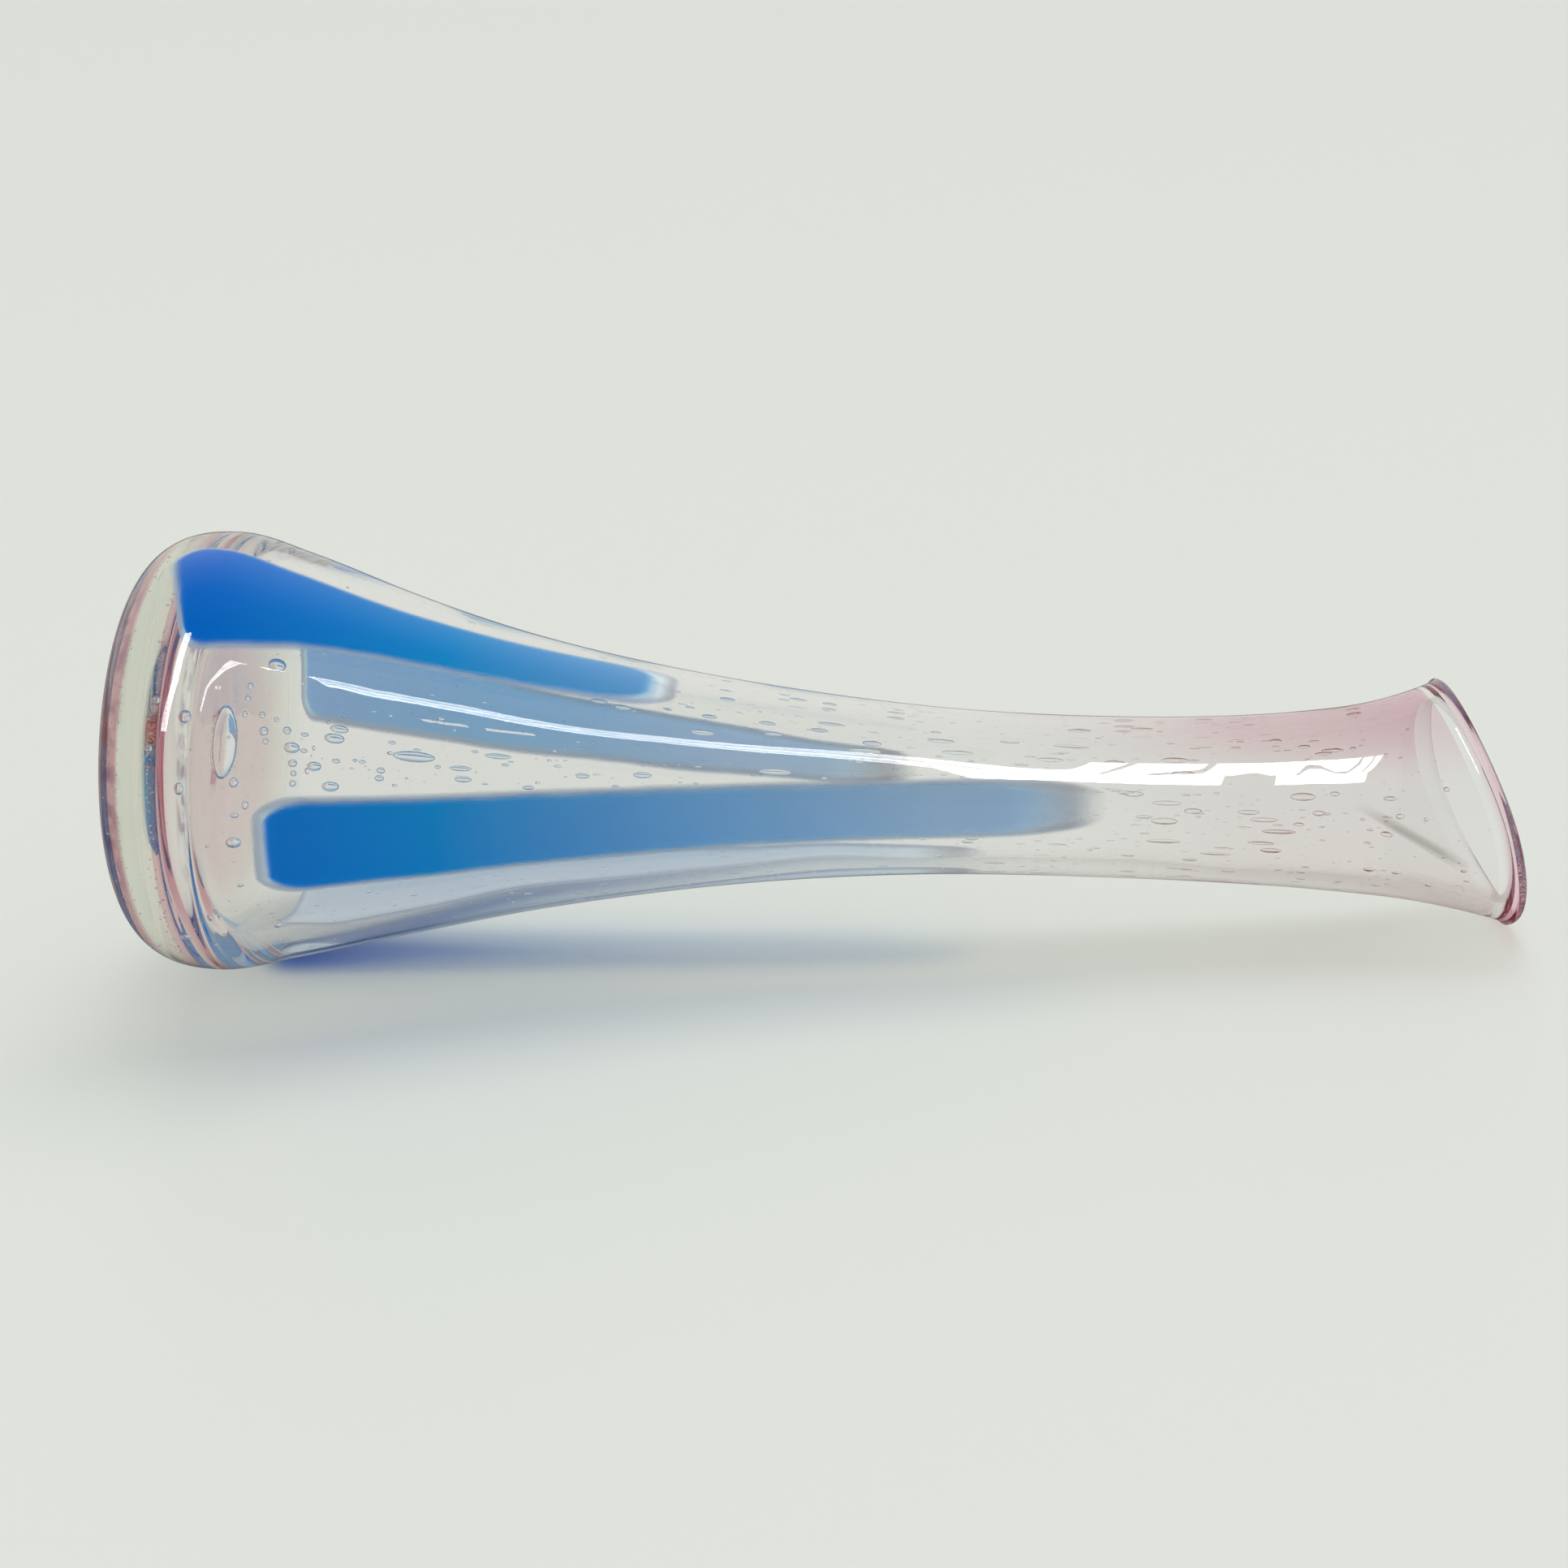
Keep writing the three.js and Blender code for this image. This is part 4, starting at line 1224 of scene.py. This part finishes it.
class VASE_OT_lip_wrap(bpy.types.Operator):
    """Makes the pink lip wrap, a closed ring just under the rim's skin"""

    bl_idname = "vase.lip_wrap"
    bl_label = "Lip wrap"

    def execute(self, context):
        rim = rim_profile()
        lip_height = sizes().lip_height
        z = np.linspace(vase_height() - lip_height, rim[1, 0], LIP_RINGS)
        middle = (rim[0].max() + rim[0].min()) / 2
        shrink = 1 - LIP_SKIN / ((rim[0].max() - rim[0].min()) / 2)
        thick = np.linspace(LIP_START_SHARE, 1, len(z)) ** 2
        wall_middle = (outer_radius(z) + bore_radius(z)) / 2
        half = ((outer_radius(z) - bore_radius(z)) / 2 - LIP_SKIN) * thick
        arc = np.stack([middle + (rim[0] - middle) * shrink, rim[1] - LIP_SKIN])
        left, right = np.stack([wall_middle - half, z]), np.stack([wall_middle + half, z])
        section = np.concatenate([right, arc, left[:, ::-1]], axis=1)
        core = np.stack([middle, vase_height() - lip_height * LIP_CORE_SHARE])[:, None]
        full, faces = turned_solid(section)
        thin, _ = turned_solid(core + (section - core) * LIP_THIN_SHARE)
        turn = np.arctan2(full[:, 1], full[:, 0])
        share = (0.5 + 0.5 * np.cos(turn - LIP_THICK_TURN))[:, None]
        places = thin + (full - thin) * share
        piece = mesh_piece("lip_wrap_glass", places, outwards(places, faces), pink_lip_glass())
        settle(piece, "lip_wrap")
        return {"FINISHED"}


class VASE_OT_beds(bpy.types.Operator):
    """Makes the four milky beds that the blue streaks lie on"""

    bl_idname = "vase.beds"
    bl_label = "Opal beds"

    def execute(self, context):
        t = context.scene.streak_sizes
        top = t.cover + t.blue_thickness + t.layer_gap
        insets = [(0, 0, 0)] * len(STREAK_TURNS)
        strip_pieces("opal_bed", opal_bed_glass(), insets, top, top + t.bed_thickness)
        return {"FINISHED"}


class VASE_OT_streaks(bpy.types.Operator):
    """Makes the four blue streaks, just under the casing's skin"""

    bl_idname = "vase.streaks"
    bl_label = "Blue streaks"

    def execute(self, context):
        t = context.scene.streak_sizes
        insets = [(t.side_border, t.start_border * share, t.tip_border) for share in START_BORDER_SHARES]
        bottom = t.cover + t.blue_thickness
        strip_pieces("blue_streak", blue_streak_glass(), insets, t.cover, bottom)
        return {"FINISHED"}


# The portrait: where its camera, floor and lamps stand

def portrait_axes():
    """The camera's right, up and forward directions, squared up."""
    studio = bpy.context.scene.studio_sizes
    forward = Vector(studio.camera_aim).normalized()
    right = forward.cross(Vector(studio.camera_up)).normalized()
    return right, right.cross(forward), forward


def make_camera():
    studio = bpy.context.scene.studio_sizes
    right, up, forward = portrait_axes()
    camera = bpy.data.objects.new("portrait_camera", bpy.data.cameras.new("portrait_camera"))
    camera.data.lens = camera.data.sensor_width * studio.focal_share
    camera.data.clip_start, camera.data.clip_end = CLIP_RANGE
    turn = Matrix((right, up, -forward)).transposed().to_4x4()
    camera.matrix_world = Matrix.Translation(studio.camera_place) @ turn
    bpy.context.scene.collection.objects.link(camera)
    bpy.context.scene.camera = camera


def floor_plane():
    """Normal and offset of the portrait's floor: tilted towards the camera by the floor tilt, and leaning
    along the vase by the angle at which it touches the belly and the rim alike."""
    mesh = bpy.data.objects["casing_glass"].data
    places = np.empty(len(mesh.vertices) * 3)
    mesh.vertices.foreach_get("co", places)
    places = places.reshape(-1, 3)
    low, high = places[places[:, 2] < TOUCH_HEIGHTS[0]], places[places[:, 2] > TOUCH_HEIGHTS[1]]
    leans = np.radians(np.linspace(*FLOOR_LEANS))
    tilt = bpy.context.scene.studio_sizes.floor_tilt
    normals = np.stack([
        -math.cos(tilt) * np.cos(leans), np.full_like(leans, -math.sin(tilt)),
        -math.cos(tilt) * np.sin(leans)], 1)
    normals /= np.linalg.norm(normals, axis=1, keepdims=True)
    under_belly = (low @ normals.T).min(0)
    under_rim = (high @ normals.T).min(0)
    best = np.argmin(np.abs(under_belly - under_rim))
    return Vector(normals[best]), float(min(under_belly[best], under_rim[best]))


def paper_material():
    """Pale paper that is there only from its lit side, so that views from behind it look through it. It is
    darker in the vase's gloss, as a room is whose floor ends."""
    colour = bpy.context.scene.glass_colours.paper
    material, tree, output = new_material("paper")
    paper = matt_shader(tree, PAPER_ROUGHNESS, PAPER_GLOSS)
    path = add_node(tree, "ShaderNodeLightPath").outputs
    in_gloss = math_node(tree, "GREATER_THAN", path["Is Glossy Ray"], path["Is Transmission Ray"])
    shade = mixed_colour(tree, in_gloss, colour, np.array(colour) * GLOSS_FLOOR_SHARE)
    tree.links.new(shade, paper.inputs["Base Color"])
    behind = add_node(tree, "ShaderNodeNewGeometry").outputs["Backfacing"]
    tree.links.new(mixed_shader(tree, behind, paper.outputs[0], transparent(tree)), output.inputs["Surface"])
    return material


def make_floor():
    normal, offset = floor_plane()
    right, _, _ = portrait_axes()
    across = (right - normal * right.dot(normal)).normalized()
    away = normal.cross(across)
    centre = normal * offset
    corners = [
        centre + across * FLOOR_REACH * a + away * FLOOR_REACH * b
        for a, b in ((-1, -1), (1, -1), (1, 1), (-1, 1))]
    mesh = bpy.data.meshes.new("portrait_floor")
    mesh.from_pydata([tuple(c) for c in corners], [], [(0, 1, 2, 3)])
    mesh.materials.append(paper_material())
    mesh.update()
    if mesh.polygons[0].normal.dot(normal) < 0:
        mesh.flip_normals()
    floor = bpy.data.objects.new("portrait_floor", mesh)
    bpy.context.scene.collection.objects.link(floor)


def background(tree, colour, strength=1.0):
    node = add_node(tree, "ShaderNodeBackground", Strength=strength)
    link(tree, colour, node.inputs["Color"])
    return node.outputs[0]


def make_world():
    """Even light for matt surfaces. The camera sees the pale paper all round. What is seen through the glass
    is the same paper, darker towards the camera's side of the room, and gloss sees that side darker still."""
    paper = np.array(bpy.context.scene.glass_colours.paper)
    world = bpy.data.worlds.new("pale_room")
    bpy.context.scene.world = world
    world.use_nodes = True
    tree = world.node_tree
    tree.nodes.clear()
    output = add_node(tree, "ShaderNodeOutputWorld")
    way = add_node(tree, "ShaderNodeTexCoord").outputs["Generated"]
    turn = range_node(tree, split_xyz(tree, way)[1], -1.0, 1.0, smooth=False)
    seen, gloss = (
        ramp_node(tree, turn, [(at, paper * share) for at, share in stops])
        for stops in (SEEN_ROOM_SHARES, GLOSS_ROOM_SHARES))
    path = add_node(tree, "ShaderNodeLightPath").outputs
    light = background(tree, WHITE, bpy.context.scene.studio_sizes.sky)
    for ray, room in (("Is Glossy Ray", gloss), ("Is Transmission Ray", seen), ("Is Camera Ray", paper)):
        light = mixed_shader(tree, path[ray], light, background(tree, room))
    tree.links.new(light, output.inputs["Surface"])


def aim(thing, place, target, long_axis):
    """Places a lamp so that it shines at a target, with its long side near a direction."""
    back = (Vector(place) - Vector(target)).normalized()
    side = (Vector(long_axis) - back * back.dot(Vector(long_axis))).normalized()
    turn = Matrix((side, back.cross(side), back)).transposed().to_4x4()
    thing.matrix_world = Matrix.Translation(place) @ turn


def lamp_glass(name, colour, strength, cell_count):
    """Lit lamp cover made of small cells, seen only in gloss: brighter in each cell's middle."""
    material, tree, output = new_material(name)
    lit = add_node(tree, "ShaderNodeEmission", Color=rgba(colour))
    cells = add_node(tree, "ShaderNodeTexVoronoi", Scale=cell_count, Randomness=CELL_RANDOMNESS)
    tree.links.new(object_place(tree), cells.inputs["Vector"])
    rim = strength * CELL_RIM_SHARE
    bright = range_node(tree, cells.outputs["Distance"], *CELL_RIMS, strength, rim, smooth=False)
    tree.links.new(bright, lit.inputs["Strength"])
    tree.links.new(lit.outputs[0], output.inputs["Surface"])
    return material


def lamp_panel(name, corners, material):
    """A flat lit strip, seen only in gloss."""
    panel = mesh_piece(name, np.array(corners), np.array([[0, 1, 2, 3]]), material, smooth=False)
    panel.visible_camera = False
    panel.visible_diffuse = False
    panel.visible_transmission = False
    panel.visible_shadow = False


def tube_row(name, near, far, width, spacings, shortening, material):
    """Long flat tubes between two points, side by side. Their spacings are those at the two points, and each
    tube ends before the next one by the shortening's share."""
    side = np.array(Vector(TUBE_SIDE).normalized())
    near, far = np.array(near), np.array(far)
    for i in range(TUBE_COUNT):
        place = i - (TUBE_COUNT - 1) / 2
        start = near + side * place * spacings[0]
        end = far + side * place * spacings[1]
        end = end + (start - end) * shortening * (TUBE_COUNT - 1 - i)
        half = side * width / 2
        lamp_panel(f"{name}_{i + 1}", (start - half, start + half, end + half, end - half), material)


def lamp_round(turn, height):
    """A place at the lamps' distance, from degrees round from -Y to -X and a height."""
    angle = math.radians(turn)
    return -math.sin(angle) * LAMP_DISTANCE, -math.cos(angle) * LAMP_DISTANCE, height


def low_lamp(material):
    """The second lamp, lower than the foot: a bent strip given by its edges round the vase."""
    places = [(lamp_round(turn, low), lamp_round(turn, high)) for turn, low, high in LOW_LAMP_EDGES]
    for i in range(len(places) - 1):
        (a, b), (d, c) = places[i], places[i + 1]
        lamp_panel(f"low_lamp_{i + 1}", (a, b, c, d), material)


def warm_lamps(material):
    """Small warm lamps, each given by its turns and heights round the vase."""
    for i, (first, last, low, high) in enumerate(WARM_LAMP_EDGES):
        corners = [lamp_round(*at) for at in ((first, low), (last, low), (last, high), (first, high))]
        lamp_panel(f"warm_lamp_{i + 1}", corners, material)


def make_lamps():
    studio = bpy.context.scene.studio_sizes
    sun = bpy.data.objects.new("soft_sun", bpy.data.lights.new("soft_sun", "SUN"))
    sun.data.energy = studio.sun
    sun.data.angle = SUN_WIDTH
    aim(sun, SUN_PLACE, (0, 0, 0), (0, 0, 1))
    sun.visible_glossy = False
    sun.visible_transmission = False
    bpy.context.scene.collection.objects.link(sun)
    white = lamp_glass("white_lamp", WHITE, studio.panel_light, CELL_COUNTS[0])
    warm = lamp_glass("warm_lamp", WARM_COLOUR, studio.panel_light, CELL_COUNTS[1])
    start, bend, end = TUBE_POINTS
    tube_row("long_tube", start, bend, TUBE_WIDTH, TUBE_SPACINGS, 0, white)
    tube_row("far_tube", bend, end, FAR_TUBE_WIDTH, FAR_TUBE_SPACINGS, FAR_TUBE_SHORTENING, white)
    low_lamp(white)
    warm_lamps(warm)


class VASE_OT_stage(bpy.types.Operator):
    """Makes the portrait's camera, paper floor, room and lamps"""

    bl_idname = "vase.stage"
    bl_label = "Stage"

    def execute(self, context):
        make_camera()
        make_floor()
        make_world()
        make_lamps()
        scene = context.scene
        scene.view_settings.view_transform = "Standard"
        scene.cycles.max_bounces = LIGHT_TURNS
        scene.cycles.transmission_bounces = LIGHT_TURNS
        scene.cycles.transparent_max_bounces = CLEAR_LAYERS
        scene.cycles.glossy_bounces = LIGHT_TURNS
        return {"FINISHED"}


class VASE_PT_panel(bpy.types.Panel):
    """Lists the vase's pieces"""

    bl_label = "Swung Glass Vase"
    bl_idname = "VASE_PT_panel"
    bl_space_type = "VIEW_3D"
    bl_region_type = "UI"
    bl_category = "Vase"

    def draw(self, context):
        for operator in OPERATORS:
            self.layout.operator(operator.bl_idname)
        for name in SETTINGS:
            settings = getattr(context.scene, name)
            for key in settings.bl_rna.properties.keys():
                if key not in ("rna_type", "name"):
                    self.layout.prop(settings, key)


SETTINGS = {
    "vase_sizes": VaseSizes,
    "streak_sizes": StreakSizes,
    "glass_colours": GlassColours,
    "bubble_counts": BubbleCounts,
    "studio_sizes": StudioSizes,
}
OPERATORS = (VASE_OT_casing, VASE_OT_lining, VASE_OT_lip_wrap, VASE_OT_beds, VASE_OT_streaks, VASE_OT_stage)


def register():
    for settings in SETTINGS.values():
        bpy.utils.register_class(settings)
    for name, settings in SETTINGS.items():
        setattr(bpy.types.Scene, name, PointerProperty(type=settings))
    for operator in OPERATORS:
        bpy.utils.register_class(operator)
    bpy.utils.register_class(VASE_PT_panel)


def unregister():
    bpy.utils.unregister_class(VASE_PT_panel)
    for operator in reversed(OPERATORS):
        bpy.utils.unregister_class(operator)
    for name in SETTINGS:
        delattr(bpy.types.Scene, name)
    for settings in reversed(SETTINGS.values()):
        bpy.utils.unregister_class(settings)


def main():
    register()
    bpy.ops.vase.casing()
    bpy.ops.vase.lining()
    bpy.ops.vase.lip_wrap()
    bpy.ops.vase.beds()
    bpy.ops.vase.streaks()
    bpy.ops.vase.stage()


if __name__ == "__main__":
    main()
